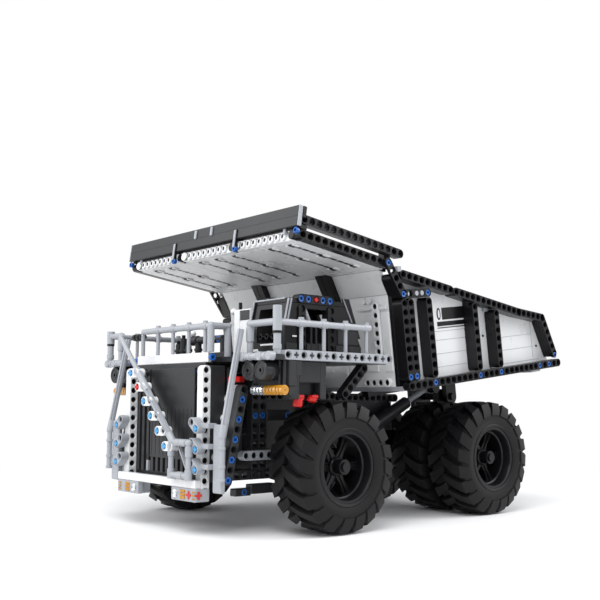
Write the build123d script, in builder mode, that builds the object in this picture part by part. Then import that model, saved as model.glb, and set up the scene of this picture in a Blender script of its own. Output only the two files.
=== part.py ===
from build123d import *
import math
import os

# Toy mining dump truck built from pin-hole beams.
# X points forward, Y to the truck's left, Z up, in millimetres.
# The origin lies on the ground under the middle of the whole outline.
os.makedirs("parts", exist_ok=True)

# Building system
module = 8.0
beam = 7.8
half_beam = beam / 2
hole_r = 2.4
seat_gap = 0.1
running_gap = 0.06
pin_end = 2.0

# Wheels and axles
wheelbase = 200.0
front_axle_x = 92.0
rear_axle_x = front_axle_x - wheelbase
tyre_r = 53.5
tyre_width = 44.0
tyre_sides = 28
bead_r = 28.8
bore_sides = 20
recess_r = 40.0
recess_depth = 4.0
shoulder_r = 47.0
crown_width = 36.0
lug_count = 20
groove_from = (-6.0, 0.0, 53.4)
groove_run = (16.5, 22.5, -8.4)
groove_height = 12.0
groove_half = 6.0
rim_r = 28.6
rim_wall = 2.6
rim_width = 38.0
hub_r = 8.0
hub_sides = 12
hub_length = 30.0
spoke_count = 6
spoke_outline = ((6.0, 4.4), (15.0, 2.9), (26.6, 4.6))
spoke_plate = 5.0
front_tyre_y = 106.5
rear_outer_y = 99.4
twin_spacing = 48.0
rear_inner_y = rear_outer_y - twin_spacing
axle_z = tyre_r
shaft_r = 3.9
bore_r = shaft_r + running_gap

# Frame
rail_y = 16.0
rail_bottom = 62.0
rail_height = 16.0
rail_top = rail_bottom + rail_height
rail_rear_x = -168.0
rail_front_x = 176.0
tower_front_x = -144.0
bed_pivot_x = -156.0
bed_pivot_z = 112.0
bed_pin_r = 3.9
bed_pin_half = 31.0
tower_top = bed_pivot_z + 8.0
hitch_x = -162.0
hitch_low_z = 72.0
hitch_spacing = 24.0
inner_rail_y = rail_y - half_beam
outer_rail_y = rail_y + half_beam
cross_member_width = 12.0
cross_member_places = [-150.0, rear_axle_x, -40.0, 0.0, 60.0, front_axle_x, 150.0]
axle_tube_r = 7.5
axle_tube_half = 27.0
diff_length = 28.0
strut_y = 24.3
strut_r = 3.8
strut_top = 106.0
bush_r = 4.3
battery_rear_x = -64.0
battery_front_x = 24.0
battery_half = 27.5
battery_top = 106.0
drive_rear_x = 52.0
drive_front_x = 116.0
drive_half = 24.0
drive_top = 124.0
block_round = 3.0

# Steering
kingpin_y = 80.0
kingpin_r = 2.4
knuckle_r = 5.5
knuckle_height = 18.0
fork_thickness = 5.0
fork_gap = 0.4
fork_face = knuckle_height / 2 + fork_gap
fork_root_y = 70.0
axle_beam_width = 16.0
steer_arm = 16.0
arm_width = 7.0
arm_thickness = 5.0
link_gap = 0.4
link_thickness = 6.0
link_eye_r = 5.0
link_hole_r = 3.5

# Front structure
front_half = 60.0
panel_front_x = 182.0
panel_t = 6.0
post_web_over = 0.4
panel_bottom = 42.0
panel_top = 137.6
rib_count = 13
rib_depth = 2.4
post_bottom = 30.0
post_top = 135.0
post_front_x = 190.0
bumper_front_x = 196.0
bumper_bottom = 37.5
bumper_height = 6.5
bumper_depth = 6.0
lamp_block_y = 44.0
lamp_block_width = 32.0
lamp_block_height = 10.5
lens_r = 3.6
lens_depth = 2.5
lens_amber_y = lamp_block_y + 4
lens_clear_y = lamp_block_y - 10
column_x = 132.0
column_bottom = 38.0
cross_beam_places = [82.0, 104.0, 134.0]
low_beam_start = 110.0
low_beam_end = panel_front_x - panel_t - 2 * seat_gap
upper_beam_z = 62.0
upper_beam_start = 109.0
upper_beam_end = 149.0

# Deck
deck_bottom = 138.0
deck_plate_t = 4.0
deck_top = deck_bottom + deck_plate_t
deck_rear_x = 42.0
deck_step_x = 162.0
balcony_x = 170.0
deck_half = 128.0
deck_inner = deck_half - module
deck_nose_x = 178.0
deck_nose_half = 56.0
side_beam_z = deck_top + seat_gap
side_beam_first_x = 157.6
side_beam_holes = 15
board_height = 8.0
board_half = 55.0
board_t = 4.0
deck_post_x = 46.0
tube_r = 3.1
stanchion_r = 1.7
handrail_z = 167.5
handrail_y = deck_half - module / 2
stanchion_places = [141.6, 117.6, 93.6, 69.6]
rail_over = 3.0
corner_post_x = 166.0
corner_post_r = 3.6
corner_post_top = 180.0
balcony_post_y = {"left": deck_half - 38, "right": deck_half - 24}
front_rail_x = 180.0
front_rail_start = -49.0
front_rail_end = 56.0
front_rail_return_x = 163.0
front_stanchions = [-24.0, 0.0, 24.0, 48.0]

# Things hung under the deck
canister_r = 7.8
canister_places = [deck_half - 32, deck_half - 16]
canister_rear_x = 157.0
canister_length = 16.0
canister_z = deck_bottom - canister_r - seat_gap
bracket_rear_x = 149.0
bracket_inner_y = deck_half - 40
bracket_bottom = 111.0
marker_x = 161.0
marker_z = 115.0
marker_r = 3.9
marker_split_y = deck_half - 24
fender_rear_x = 113.0
fender_bottom = 108.0
fender_width = 8.0
fender_inner_y = deck_inner - fender_width
fender_leg = 7.0
red_block_x = 140.0
red_block_height = 6.5

# Cab, its front leaning back and its rear sloping down
cab_outer_y = deck_half - 24
cab_inner_y = cab_outer_y - 44
cab_wall = 4.0
cab_rear_x = 56.0
cab_front_x = 142.0
cab_top = 186.0
cab_waist_z = 166.0
cab_brow_x = 137.5
cab_shoulder_x = 74.0
cab_shoulder_z = 152.0
cab_window_bottom = 154.0
cab_window_top = 182.0
cab_door_rear_x = 97.0
cab_door_front_x = 120.0
roof_beam_rear_x = 93.0
roof_beam_front_x = 125.0
roof_t = 4.4
seat_width = 24.0
seat_rear_x = 84.0
seat_length = 28.0
seat_height = 12.0
seat_back_top = 32.0
seat_back_t = 8.0
seat_back_lean = 2.0
side_box_rear_x = 100.0
side_box_inner_y = cab_inner_y - 24
side_box_outer_y = cab_inner_y - 2
side_box_top = 184.0
side_box_frame = 1.5
side_box_window_width = 12.0
side_box_window_height = 8.0
side_box_window_depth = 3.0
side_box_window_y = side_box_outer_y - side_box_frame - side_box_window_width / 2
side_box_window_z = side_box_top - side_box_frame - side_box_window_height / 2

# Bed, measured along its own slope from the first hole of its bottom rail
bed_slope = 7.05
bed_hole_x = 20.3
bed_hole_z = 119.6
bed_rail_y = 127.0
bed_rail_holes = 29
bed_hole_sides = 8
bed_panel_t = 4.0
bed_panel_outer_y = bed_rail_y - module
bed_rib_depth = 11.8
bed_floor_t = 4.0
bed_floor_top = 0.1
bed_floor_half = bed_rail_y - half_beam - seat_gap
bed_tail = -module * (bed_rail_holes - 1)
top_rail_front = (-1.5, 97.1)
panel_front_top = (-3.9, 96.5)
top_rail_bend = (-164.2, 55.1)
top_rail_rear = (-203.4, 47.3)
tail_low = (-219.7, 8.0)
ribs = (
    # place along the rail, bottom, top
    (0.0, 8.0, 72.0),
    (-8.0, 8.0, 72.0),
    (-32.0, 8.0, 72.0),
    (-96.0, 8.0, 64.0),
    (-128.0, 8.0, 56.0),
)
rib_cap_z = 80.0
rib_cap_end = -32.0
bed_wall_top = 81.0
wall_fold = 3.0
strut_inner_top = (7.6, 97.2)
mid_strut_y = 48.0
mid_strut_width = 16.0
mid_strut_low = 57.0
mid_strut_knee = 78.6
mid_strut_depth = 5.5
under_beam_y = 48.4
under_beam_drop = 8.0
under_beam_rear = -215.0
under_beam_front = -24.0
ear_inner_y = 22.0
ear_outer_y = 28.0
ear_r = 8.0

# Canopy, measured along its own slope from the first hole of its lower beam
canopy_slope = 7.9
canopy_x = 143.6
canopy_z = 237.6
fascia_half = 128.0
canopy_beam_y = fascia_half - module / 2
canopy_lower_holes = 13
canopy_upper_holes = 15
canopy_gap = 12.4
canopy_plate_t = 3.0
canopy_inner_y = canopy_beam_y - module / 2
strip_beam_length = 79.8
fascia_t = 4.0
fascia_low = 5.4
fascia_high = 22.4

# Hoist
hoist_y = 40.0
hoist_low_x = rear_axle_x + 108
hoist_low_z = 72.0
hoist_eye_x = rear_axle_x - 14
hoist_eye_drop = -14.0
barrel_r = 6.0
barrel_length = 78.0
barrel_start = 9.0
rod_r = 3.0
rod_length = 100.0
eye_r = 5.5
eye_half = 3.8
hoist_bracket_length = 8.0
hoist_bracket_drop = 2.0
hoist_pin_end = 1.0
barrel_floor = 2.0
stem_reach = 0.7
hoist_lug_y = 33.0
hoist_lug_half = 2.0

sides = {"left": 1, "right": -1}

# Sloping planes: x runs forward, y up, seen from the truck's right side
slope_cos = math.cos(math.radians(bed_slope))
slope_sin = math.sin(math.radians(bed_slope))
bed_plane = Plane(
    origin=(bed_hole_x, 0, bed_hole_z),
    x_dir=(slope_cos, 0, -slope_sin),
    z_dir=(0, -1, 0),
)
canopy_cos = math.cos(math.radians(canopy_slope))
canopy_sin = math.sin(math.radians(canopy_slope))
canopy_plane = Plane(
    origin=(canopy_x, 0, canopy_z),
    x_dir=(canopy_cos, 0, canopy_sin),
    z_dir=(0, -1, 0),
)
hoist_eye = bed_plane.from_local_coords((hoist_eye_x, hoist_eye_drop, 0))
hoist_low = Vector(hoist_low_x, 0, hoist_low_z)
hoist_line = hoist_eye - hoist_low
pivot_local = bed_plane.to_local_coords(Vector(bed_pivot_x, 0, bed_pivot_z))


def side_plane(y):
    """Upright plane along the truck, with y measured from its middle."""
    return Plane.XZ.offset(-y)


def bed_side(y):
    """Plane of the sloping bed, with y measured from the middle."""
    return bed_plane.offset(-y)


def canopy_side(y):
    """Plane of the sloping canopy, with y measured from the middle."""
    return canopy_plane.offset(-y)


def bar(start, end, width=beam):
    """Sketch of one beam with its first and last holes at start and end."""
    run = Vector(*end) - Vector(*start)
    angle = math.degrees(math.atan2(run.Y, run.X))
    with Locations(((start[0] + end[0]) / 2, (start[1] + end[1]) / 2)):
        SlotCenterToCenter(run.length, width, rotation=angle)


def block(x0, x1, y0, y1, z0, z1):
    """Solid box between two values on each axis."""
    with Locations(((x0 + x1) / 2, (y0 + y1) / 2, (z0 + z1) / 2)):
        Box(x1 - x0, y1 - y0, z1 - z0)


def tube(points, radius=tube_r):
    """Round tube through a list of points."""
    with BuildLine() as path:
        Polyline(*points)
    with BuildSketch(Plane(origin=path.line @ 0, z_dir=path.line % 0)) as ring:
        Circle(radius)
    sweep(sections=ring.sketch, path=path.line, transition=Transition.RIGHT)


def wheel_section(place, radius, count):
    """Many-sided section of a wheel at one place along its axle."""
    with BuildSketch(side_plane(place)) as section:
        RegularPolygon(radius, count)
    return section.sketch


def pin_holes(first, step_x, count, sides_of_hole):
    """Row of pin holes as a sketch, stepping along local x."""
    with Locations([(first[0] + step_x * number, first[1]) for number in range(count)]):
        RegularPolygon(hole_r, sides_of_hole, rotation=180 / sides_of_hole, mode=Mode.SUBTRACT)


# Frame rails with the rear towers that carry the bed pivot
with BuildPart() as frame_rails:
    with BuildSketch(side_plane(rail_y)):
        with BuildLine():
            Polyline(
                (rail_rear_x, rail_bottom),
                (rail_front_x, rail_bottom),
                (rail_front_x, rail_top),
                (tower_front_x, rail_top),
                (tower_front_x, tower_top),
                (rail_rear_x, tower_top),
                close=True,
            )
        make_face()
        with Locations((hitch_x, hitch_low_z), (hitch_x, hitch_low_z + hitch_spacing)):
            Circle(hole_r, mode=Mode.SUBTRACT)
    extrude(amount=half_beam, both=True)
    mirror(about=Plane.XZ)
    with BuildSketch(side_plane(0)):
        with Locations((bed_pivot_x, bed_pivot_z)):
            Circle(bed_pin_r)
    extrude(amount=bed_pin_half, both=True)
frame_rails.part.label = "frame_rails"
export_step(frame_rails.part, "parts/frame_rails.step")

# Cross members between the rails
with BuildPart() as cross_members:
    for place in cross_member_places:
        with Locations((place, 0, rail_bottom + rail_height / 2)):
            Box(cross_member_width, 2 * inner_rail_y, rail_height)
cross_members.part.label = "cross_members"
export_step(cross_members.part, "parts/cross_members.step")

# Rear axle: differential block, tubes and the shafts of the twin wheels
rear_shaft_half = rear_outer_y + hub_length / 2 + pin_end
with BuildPart() as rear_axle:
    with Locations((rear_axle_x, 0, axle_z)):
        Box(diff_length, 2 * inner_rail_y, 2 * (rail_bottom - axle_z))
        Cylinder(axle_tube_r, 2 * axle_tube_half, rotation=(90, 0, 0))
        Cylinder(shaft_r, 2 * rear_shaft_half, rotation=(90, 0, 0))
rear_axle.part.label = "rear_axle"
export_step(rear_axle.part, "parts/rear_axle.step")

# Rear suspension struts, standing on the axle tubes beside the rails
with BuildPart() as rear_struts:
    with BuildSketch(Plane.XY.offset(axle_z + axle_tube_r)):
        with Locations((rear_axle_x, strut_y)):
            Circle(strut_r)
    extrude(amount=strut_top - axle_z - axle_tube_r)
    with BuildSketch(Plane.XY.offset(strut_top - module)):
        with Locations((rear_axle_x, strut_y)):
            Circle(bush_r)
    extrude(amount=module)
    mirror(about=Plane.XZ)
rear_struts.part.label = "rear_struts"
export_step(rear_struts.part, "parts/rear_struts.step")

# Front axle beam with a fork and a kingpin at each end
fork_half = fork_face + fork_thickness
with BuildPart() as front_axle:
    with Locations((front_axle_x, 0, axle_z)):
        Box(axle_beam_width, 2 * fork_root_y, 2 * (rail_bottom - axle_z))
    for side in sides.values():
        with Locations((front_axle_x, side * (fork_root_y - module / 2), axle_z)):
            Box(axle_beam_width, module, 2 * fork_half)
        for level in (-fork_half, fork_face):
            with BuildSketch(Plane.XY.offset(axle_z + level)):
                with Locations((front_axle_x, side * (fork_root_y + kingpin_y) / 2)):
                    Rectangle(2 * knuckle_r, kingpin_y - fork_root_y)
                with Locations((front_axle_x, side * kingpin_y)):
                    Circle(knuckle_r)
            extrude(amount=fork_thickness)
        with Locations((front_axle_x, side * kingpin_y, axle_z)):
            Cylinder(kingpin_r, 2 * fork_face + fork_thickness)
front_axle.part.label = "front_axle"
export_step(front_axle.part, "parts/front_axle.step")

# Battery and drive blocks standing on the rails
with BuildPart() as battery_block:
    block(battery_rear_x, battery_front_x, -battery_half, battery_half, rail_top, battery_top)
    fillet(battery_block.edges().filter_by(Axis.Z), radius=block_round)
battery_block.part.label = "battery_block"
export_step(battery_block.part, "parts/battery_block.step")

with BuildPart() as drive_block:
    block(drive_rear_x, drive_front_x, -drive_half, drive_half, rail_top, drive_top)
    fillet(drive_block.edges().filter_by(Axis.Z), radius=block_round)
drive_block.part.label = "drive_block"
export_step(drive_block.part, "parts/drive_block.step")

# Ribbed radiator between the front posts
radiator_half = front_half - module
rib_pitch = 2 * radiator_half / (2 * rib_count + 1)
with BuildPart() as radiator:
    block(panel_front_x - panel_t, panel_front_x, -radiator_half, radiator_half, panel_bottom, panel_top)
    with BuildSketch(Plane.YZ.offset(panel_front_x)):
        with Locations((0, (panel_bottom + panel_top) / 2)):
            with GridLocations(2 * rib_pitch, 1, rib_count, 1):
                Rectangle(rib_pitch, panel_top - panel_bottom - module)
    extrude(amount=rib_depth)
radiator.part.label = "radiator"
export_step(radiator.part, "parts/radiator.step")

# Pin-hole posts beside the radiator
with BuildPart() as front_posts:
    for side in sides.values():
        reach = side * (front_half - half_beam)
        with Locations((post_front_x - half_beam, reach, (post_bottom + post_top) / 2)):
            Box(beam, beam, post_top - post_bottom)
        with Locations((panel_front_x - panel_t / 2, reach, (panel_bottom + post_top) / 2)):
            Box(panel_t + post_web_over, beam, post_top - panel_bottom)
front_posts.part.label = "front_posts"
export_step(front_posts.part, "parts/front_posts.step")

# Blank board over the radiator
board_top = panel_top + board_height
with BuildPart() as front_board:
    block(panel_front_x - board_t, panel_front_x, -board_half, board_half, panel_top, board_top)
front_board.part.label = "front_board"
export_step(front_board.part, "parts/front_board.step")

# Bumper beam in front of the posts and the lamp blocks under it
with BuildPart() as bumper_beam:
    block(
        bumper_front_x - bumper_depth,
        bumper_front_x,
        -front_half,
        front_half,
        bumper_bottom,
        bumper_bottom + bumper_height,
    )
bumper_beam.part.label = "bumper_beam"
export_step(bumper_beam.part, "parts/bumper_beam.step")

lamp_z = bumper_bottom - lamp_block_height / 2
lamp_block_inner = lamp_block_y - lamp_block_width / 2
lamp_post_gap = front_half - beam - seat_gap
with BuildPart() as lamp_blocks:
    for side in sides.values():
        with Locations((bumper_front_x - bumper_depth / 2, side * lamp_block_y, lamp_z)):
            Box(bumper_depth, lamp_block_width, lamp_block_height)
        with Locations(
            (
                (post_front_x - beam + bumper_front_x - bumper_depth) / 2,
                side * (lamp_block_inner + lamp_post_gap) / 2,
                lamp_z,
            )
        ):
            Box(beam, lamp_post_gap - lamp_block_inner, lamp_block_height)
lamp_blocks.part.label = "lamp_blocks"
export_step(lamp_blocks.part, "parts/lamp_blocks.step")

# Lamps on the blocks and marker rows under the balconies
with BuildPart() as lamps_amber:
    for side in sides.values():
        with Locations((bumper_front_x + lens_depth / 2, side * lens_amber_y, lamp_z)):
            Cylinder(lens_r, lens_depth, rotation=(0, 90, 0))
        with Locations((marker_x, side * (marker_split_y + deck_half) / 2, marker_z)):
            Cylinder(marker_r, deck_half - marker_split_y, rotation=(90, 0, 0))
lamps_amber.part.label = "lamps_amber"
export_step(lamps_amber.part, "parts/lamps_amber.step")

with BuildPart() as lamps_clear:
    for side in sides.values():
        with Locations((bumper_front_x + lens_depth / 2, side * lens_clear_y, lamp_z)):
            Cylinder(lens_r, lens_depth, rotation=(0, 90, 0))
        with Locations((marker_x, side * (marker_split_y + bracket_inner_y) / 2, marker_z)):
            Cylinder(marker_r, marker_split_y - bracket_inner_y, rotation=(90, 0, 0))
lamps_clear.part.label = "lamps_clear"
export_step(lamps_clear.part, "parts/lamps_clear.step")

# Diagonal stair across the front
stair_rear_x = post_front_x
stair_beam_t = 4.0
stair_front_x = 202.0
step_r = 3.9
step_pitch = 2 * module / math.sqrt(2)
step_count = 6
stair_top = (-40.7, 129.0)
stair_run = step_pitch * (step_count - 1)
with BuildPart() as front_stair:
    with BuildSketch(Plane.YZ.offset(stair_rear_x)):
        bar(stair_top, (stair_top[0] + stair_run, stair_top[1] - stair_run))
    extrude(amount=stair_beam_t)
    with BuildSketch(Plane.YZ.offset(panel_front_x + rib_depth)):
        for step in (0, step_count - 1):
            with Locations((stair_top[0] + step * step_pitch, stair_top[1] - step * step_pitch)):
                Circle(hole_r)
    extrude(amount=stair_rear_x - panel_front_x - rib_depth)
    with BuildSketch(Plane.YZ.offset(stair_rear_x + stair_beam_t)):
        for step in range(step_count):
            with Locations((stair_top[0] + step * step_pitch, stair_top[1] - step * step_pitch)):
                Circle(step_r)
    extrude(amount=stair_front_x - stair_rear_x - stair_beam_t)
front_stair.part.label = "front_stair"
export_step(front_stair.part, "parts/front_stair.step")

# Handrail over the stair and round its landing
rail_x = bumper_front_x + tube_r + seat_gap
landing_low = bumper_bottom + bumper_height
landing_high = 73.0
landing_inner_y = 33.0
landing_outer_y = 56.0
stair_rail_top = (-56.0, 163.0)
with BuildPart() as front_handrail:
    tube(
        [
            (rail_x, *stair_rail_top),
            (rail_x, landing_inner_y, landing_high),
            (rail_x, landing_outer_y, landing_high),
            (rail_x, landing_outer_y, landing_low),
            (rail_x, landing_inner_y, landing_low),
        ]
    )
    tube([(rail_x, landing_inner_y, landing_high), (rail_x, landing_inner_y, landing_low)])
front_handrail.part.label = "front_handrail"
export_step(front_handrail.part, "parts/front_handrail.step")

# Columns behind the front wheels' arches, with the beams across
with BuildPart() as front_columns:
    for side in sides.values():
        outer = side * (front_half - half_beam)
        with Locations((column_x, outer, (column_bottom + deck_bottom) / 2)):
            Box(2 * beam, beam, deck_bottom - column_bottom)
        with Locations(((low_beam_start + low_beam_end) / 2, outer, column_bottom + beam)):
            Box(low_beam_end - low_beam_start, beam, beam)
        with BuildSketch(side_plane(outer)):
            bar((upper_beam_start + half_beam, upper_beam_z), (upper_beam_end - half_beam, upper_beam_z))
        extrude(amount=half_beam, both=True)
    for place in cross_beam_places:
        with Locations((column_x, 0, place)):
            Box(beam, 2 * (front_half - beam), beam)
front_columns.part.label = "front_columns"
export_step(front_columns.part, "parts/front_columns.step")

# Deck plate with its posts, and the beams along its sides
with BuildPart() as deck_plate:
    with BuildSketch(Plane.XY.offset(deck_bottom)):
        with BuildLine():
            Polyline(
                (deck_rear_x, -deck_inner),
                (deck_step_x, -deck_inner),
                (deck_step_x, -deck_half),
                (balcony_x, -deck_half),
                (balcony_x, -deck_nose_half),
                (deck_nose_x, -deck_nose_half),
                (deck_nose_x, deck_nose_half),
                (balcony_x, deck_nose_half),
                (balcony_x, deck_half),
                (deck_step_x, deck_half),
                (deck_step_x, deck_inner),
                (deck_rear_x, deck_inner),
                close=True,
            )
        make_face()
    extrude(amount=deck_plate_t)
deck_plate.part.label = "deck_plate"
export_step(deck_plate.part, "parts/deck_plate.step")

with BuildPart() as deck_posts:
    for side in sides.values():
        with Locations((deck_post_x, side * rail_y, (rail_top + deck_bottom) / 2)):
            Box(beam, beam, deck_bottom - rail_top)
deck_posts.part.label = "deck_posts"
export_step(deck_posts.part, "parts/deck_posts.step")

side_beam_last_x = side_beam_first_x - module * (side_beam_holes - 1)
with BuildPart() as deck_side_beams:
    for side in sides.values():
        with BuildSketch(side_plane(side * (deck_inner + half_beam + seat_gap))):
            bar((side_beam_first_x, side_beam_z), (side_beam_last_x, side_beam_z))
            pin_holes((side_beam_first_x, side_beam_z), -module, side_beam_holes, bed_hole_sides)
        extrude(amount=half_beam, both=True)
deck_side_beams.part.label = "deck_side_beams"
export_step(deck_side_beams.part, "parts/deck_side_beams.step")

# Railings round the deck
with BuildPart() as deck_rail_left:
    inner_post = balcony_post_y["left"]
    tube(
        [
            (stanchion_places[-1] - rail_over, handrail_y, handrail_z),
            (corner_post_x, handrail_y, handrail_z),
            (corner_post_x, inner_post, handrail_z),
            (corner_post_x, inner_post, deck_top),
        ]
    )
    for place in stanchion_places:
        block_bottom = side_beam_z + half_beam
        with Locations((place, handrail_y, (block_bottom + handrail_z) / 2)):
            Cylinder(stanchion_r, handrail_z - block_bottom)
    with Locations((corner_post_x, handrail_y, (deck_top + corner_post_top) / 2)):
        Cylinder(corner_post_r, corner_post_top - deck_top)
deck_rail_left.part.label = "deck_rail_left"
export_step(deck_rail_left.part, "parts/deck_rail_left.step")

with BuildPart() as deck_rail_right:
    inner_post = balcony_post_y["right"]
    tube(
        [
            (stanchion_places[-1] - rail_over, -handrail_y, handrail_z),
            (corner_post_x, -handrail_y, handrail_z),
            (corner_post_x, -inner_post, handrail_z),
            (corner_post_x, -inner_post, deck_top),
        ]
    )
    for place in stanchion_places:
        block_bottom = side_beam_z + half_beam
        with Locations((place, -handrail_y, (block_bottom + handrail_z) / 2)):
            Cylinder(stanchion_r, handrail_z - block_bottom)
    with Locations((corner_post_x, -handrail_y, (deck_top + corner_post_top) / 2)):
        Cylinder(corner_post_r, corner_post_top - deck_top)
deck_rail_right.part.label = "deck_rail_right"
export_step(deck_rail_right.part, "parts/deck_rail_right.step")

with BuildPart() as deck_rail_front:
    tube(
        [
            (front_rail_x, front_rail_start, handrail_z),
            (front_rail_x, front_rail_end, handrail_z),
            (front_rail_return_x, front_rail_end, handrail_z),
            (front_rail_return_x, front_rail_end, deck_top),
        ]
    )
    for place in front_stanchions:
        with Locations((front_rail_x, place, (board_top + handrail_z) / 2)):
            Cylinder(stanchion_r, handrail_z - board_top)
deck_rail_front.part.label = "deck_rail_front"
export_step(deck_rail_front.part, "parts/deck_rail_front.step")

# Round air cleaners, the brackets behind them and the fender frames
with BuildPart() as air_cleaners:
    for side in sides.values():
        for place in canister_places:
            with Locations((canister_rear_x + canister_length / 2, side * place, canister_z)):
                Cylinder(canister_r, canister_length, rotation=(0, 90, 0))
air_cleaners.part.label = "air_cleaners"
export_step(air_cleaners.part, "parts/air_cleaners.step")

with BuildPart() as lamp_brackets:
    for side in sides.values():
        with Locations(
            (
                (bracket_rear_x + canister_rear_x) / 2,
                side * (bracket_inner_y + deck_half) / 2,
                (bracket_bottom + deck_bottom) / 2,
            )
        ):
            Box(canister_rear_x - bracket_rear_x, deck_half - bracket_inner_y, deck_bottom - bracket_bottom)
lamp_brackets.part.label = "lamp_brackets"
export_step(lamp_brackets.part, "parts/lamp_brackets.step")

fender_centre = (fender_rear_x + bracket_rear_x) / 2
fender_length = bracket_rear_x - fender_rear_x
fender_height = deck_bottom - fender_bottom
with BuildPart() as fender_frames:
    for side in sides.values():
        with BuildSketch(side_plane(side * (fender_inner_y + fender_width / 2))):
            with Locations((fender_centre, (fender_bottom + deck_bottom) / 2)):
                Rectangle(fender_length, fender_height)
                Rectangle(fender_length - 2 * fender_leg, fender_height - 2 * fender_leg, mode=Mode.SUBTRACT)
        extrude(amount=fender_width / 2, both=True)
fender_frames.part.label = "fender_frames"
export_step(fender_frames.part, "parts/fender_frames.step")

with BuildPart() as red_blocks:
    for side in sides.values():
        reach = side * (fender_inner_y + fender_width / 2)
        with Locations((red_block_x, reach, fender_bottom - red_block_height / 2)):
            Cylinder(half_beam, red_block_height)
red_blocks.part.label = "red_blocks"
export_step(red_blocks.part, "parts/red_blocks.step")

# Side ladders: stringers, rungs and feet, with a rod handrail each
stringer_top = (166.2, 115.4)
stringer_low = (180.7, 45.4)
stringer_y = 80.0
rung_inner_y = front_half + 2 * seat_gap
rungs = ((165.4, 107.2), (169.1, 92.1), (173.0, 76.6), (177.1, 61.5))
rung_r = 3.6
foot_bottom = 35.0
foot_top = 88.0
foot_depth = 4.0
foot_x = stringer_low[0] + half_beam + foot_depth / 2
foot_width = 12.0
foot_over = 1.2
foot_y = stringer_y + half_beam + foot_over - foot_width / 2
foot_inner_y = foot_y - foot_width / 2
foot_bracket_places = [86.0, 71.0, 54.0]
foot_bracket_height = 4.0
with BuildPart() as side_ladders:
    for side in sides.values():
        with BuildSketch(side_plane(side * stringer_y)):
            bar(stringer_top, stringer_low)
        extrude(amount=half_beam, both=True)
        for rung_x, rung_z in rungs:
            with Locations((rung_x, side * (rung_inner_y + beam + stringer_y - half_beam) / 2, rung_z)):
                Cylinder(rung_r, stringer_y - half_beam - rung_inner_y - beam, rotation=(90, 0, 0))
        with BuildSketch(side_plane(side * (rung_inner_y + half_beam))):
            bar(stringer_top, stringer_low)
        extrude(amount=half_beam, both=True)
side_ladders.part.label = "side_ladders"
export_step(side_ladders.part, "parts/side_ladders.step")

ladder_rail_y = stringer_y + half_beam + tube_r + seat_gap
ladder_rail_top = (173.0, 163.0)
ladder_rail_knee = (190.0, 79.0)
ladder_rail_low = 45.0
with BuildPart() as ladder_handrails:
    for side in sides.values():
        reach = side * ladder_rail_y
        tube(
            [
                (ladder_rail_top[0], reach, ladder_rail_top[1]),
                (ladder_rail_knee[0], reach, ladder_rail_knee[1]),
                (ladder_rail_knee[0], reach, ladder_rail_low),
            ]
        )
        with Locations((foot_x, side * foot_y, (foot_bottom + foot_top) / 2)):
            Box(foot_depth, foot_width, foot_top - foot_bottom)
        for place in foot_bracket_places:
            with Locations((foot_x, side * (front_half + foot_inner_y) / 2, place)):
                Box(foot_depth, foot_inner_y - front_half, foot_bracket_height)
ladder_handrails.part.label = "ladder_handrails"
export_step(ladder_handrails.part, "parts/ladder_handrails.step")

# Cab shell, hollow, open where its windows are
cab_mid_y = (cab_inner_y + cab_outer_y) / 2
cab_width = cab_outer_y - cab_inner_y
window_mid_z = (cab_window_bottom + cab_window_top) / 2
window_height = cab_window_top - cab_window_bottom
with BuildPart() as cab_shell:
    for wall, width, mode in ((0, cab_width, Mode.ADD), (cab_wall, cab_width - 2 * cab_wall, Mode.SUBTRACT)):
        with BuildSketch(side_plane(cab_mid_y)) as profile:
            with BuildLine():
                Polyline(
                    (cab_rear_x + wall, deck_top),
                    (cab_front_x - wall, deck_top),
                    (cab_front_x - wall, cab_waist_z),
                    (cab_brow_x - wall, cab_top),
                    (cab_shoulder_x + wall, cab_top),
                    (cab_rear_x + wall, cab_shoulder_z),
                    close=True,
                )
            make_face()
        extrude(profile.sketch, amount=width / 2, both=True, mode=mode)
    with Locations(((cab_rear_x + cab_front_x) / 2, cab_mid_y, window_mid_z)):
        Box(cab_front_x - cab_rear_x + 1, cab_width - 4 * cab_wall, window_height, mode=Mode.SUBTRACT)
    with Locations(((cab_door_rear_x + cab_door_front_x) / 2, cab_mid_y, window_mid_z)):
        Box(cab_door_front_x - cab_door_rear_x, cab_width + 1, window_height, mode=Mode.SUBTRACT)
cab_shell.part.label = "cab_shell"
export_step(cab_shell.part, "parts/cab_shell.step")

# White box beside the cab, with a dark recess in its front
with BuildPart() as cab_side_box:
    block(side_box_rear_x, cab_front_x, side_box_inner_y, side_box_outer_y, deck_top, side_box_top)
    with BuildSketch(Plane.YZ.offset(cab_front_x)):
        with Locations((side_box_window_y, side_box_window_z)):
            Rectangle(side_box_window_width, side_box_window_height)
    extrude(amount=-side_box_window_depth, mode=Mode.SUBTRACT)
cab_side_box.part.label = "cab_side_box"
export_step(cab_side_box.part, "parts/cab_side_box.step")

# Cab roof with a pin-hole beam along each side
with BuildPart() as cab_roof:
    block(cab_shoulder_x, cab_brow_x, cab_inner_y, cab_outer_y, cab_top, cab_top + roof_t)
    roof_beam_z = cab_top + half_beam
    for reach in (cab_inner_y + half_beam, cab_outer_y - half_beam):
        with BuildSketch(side_plane(reach)):
            bar((roof_beam_rear_x, roof_beam_z), (roof_beam_front_x, roof_beam_z))
        extrude(amount=half_beam, both=True)
cab_roof.part.label = "cab_roof"
export_step(cab_roof.part, "parts/cab_roof.step")

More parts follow.
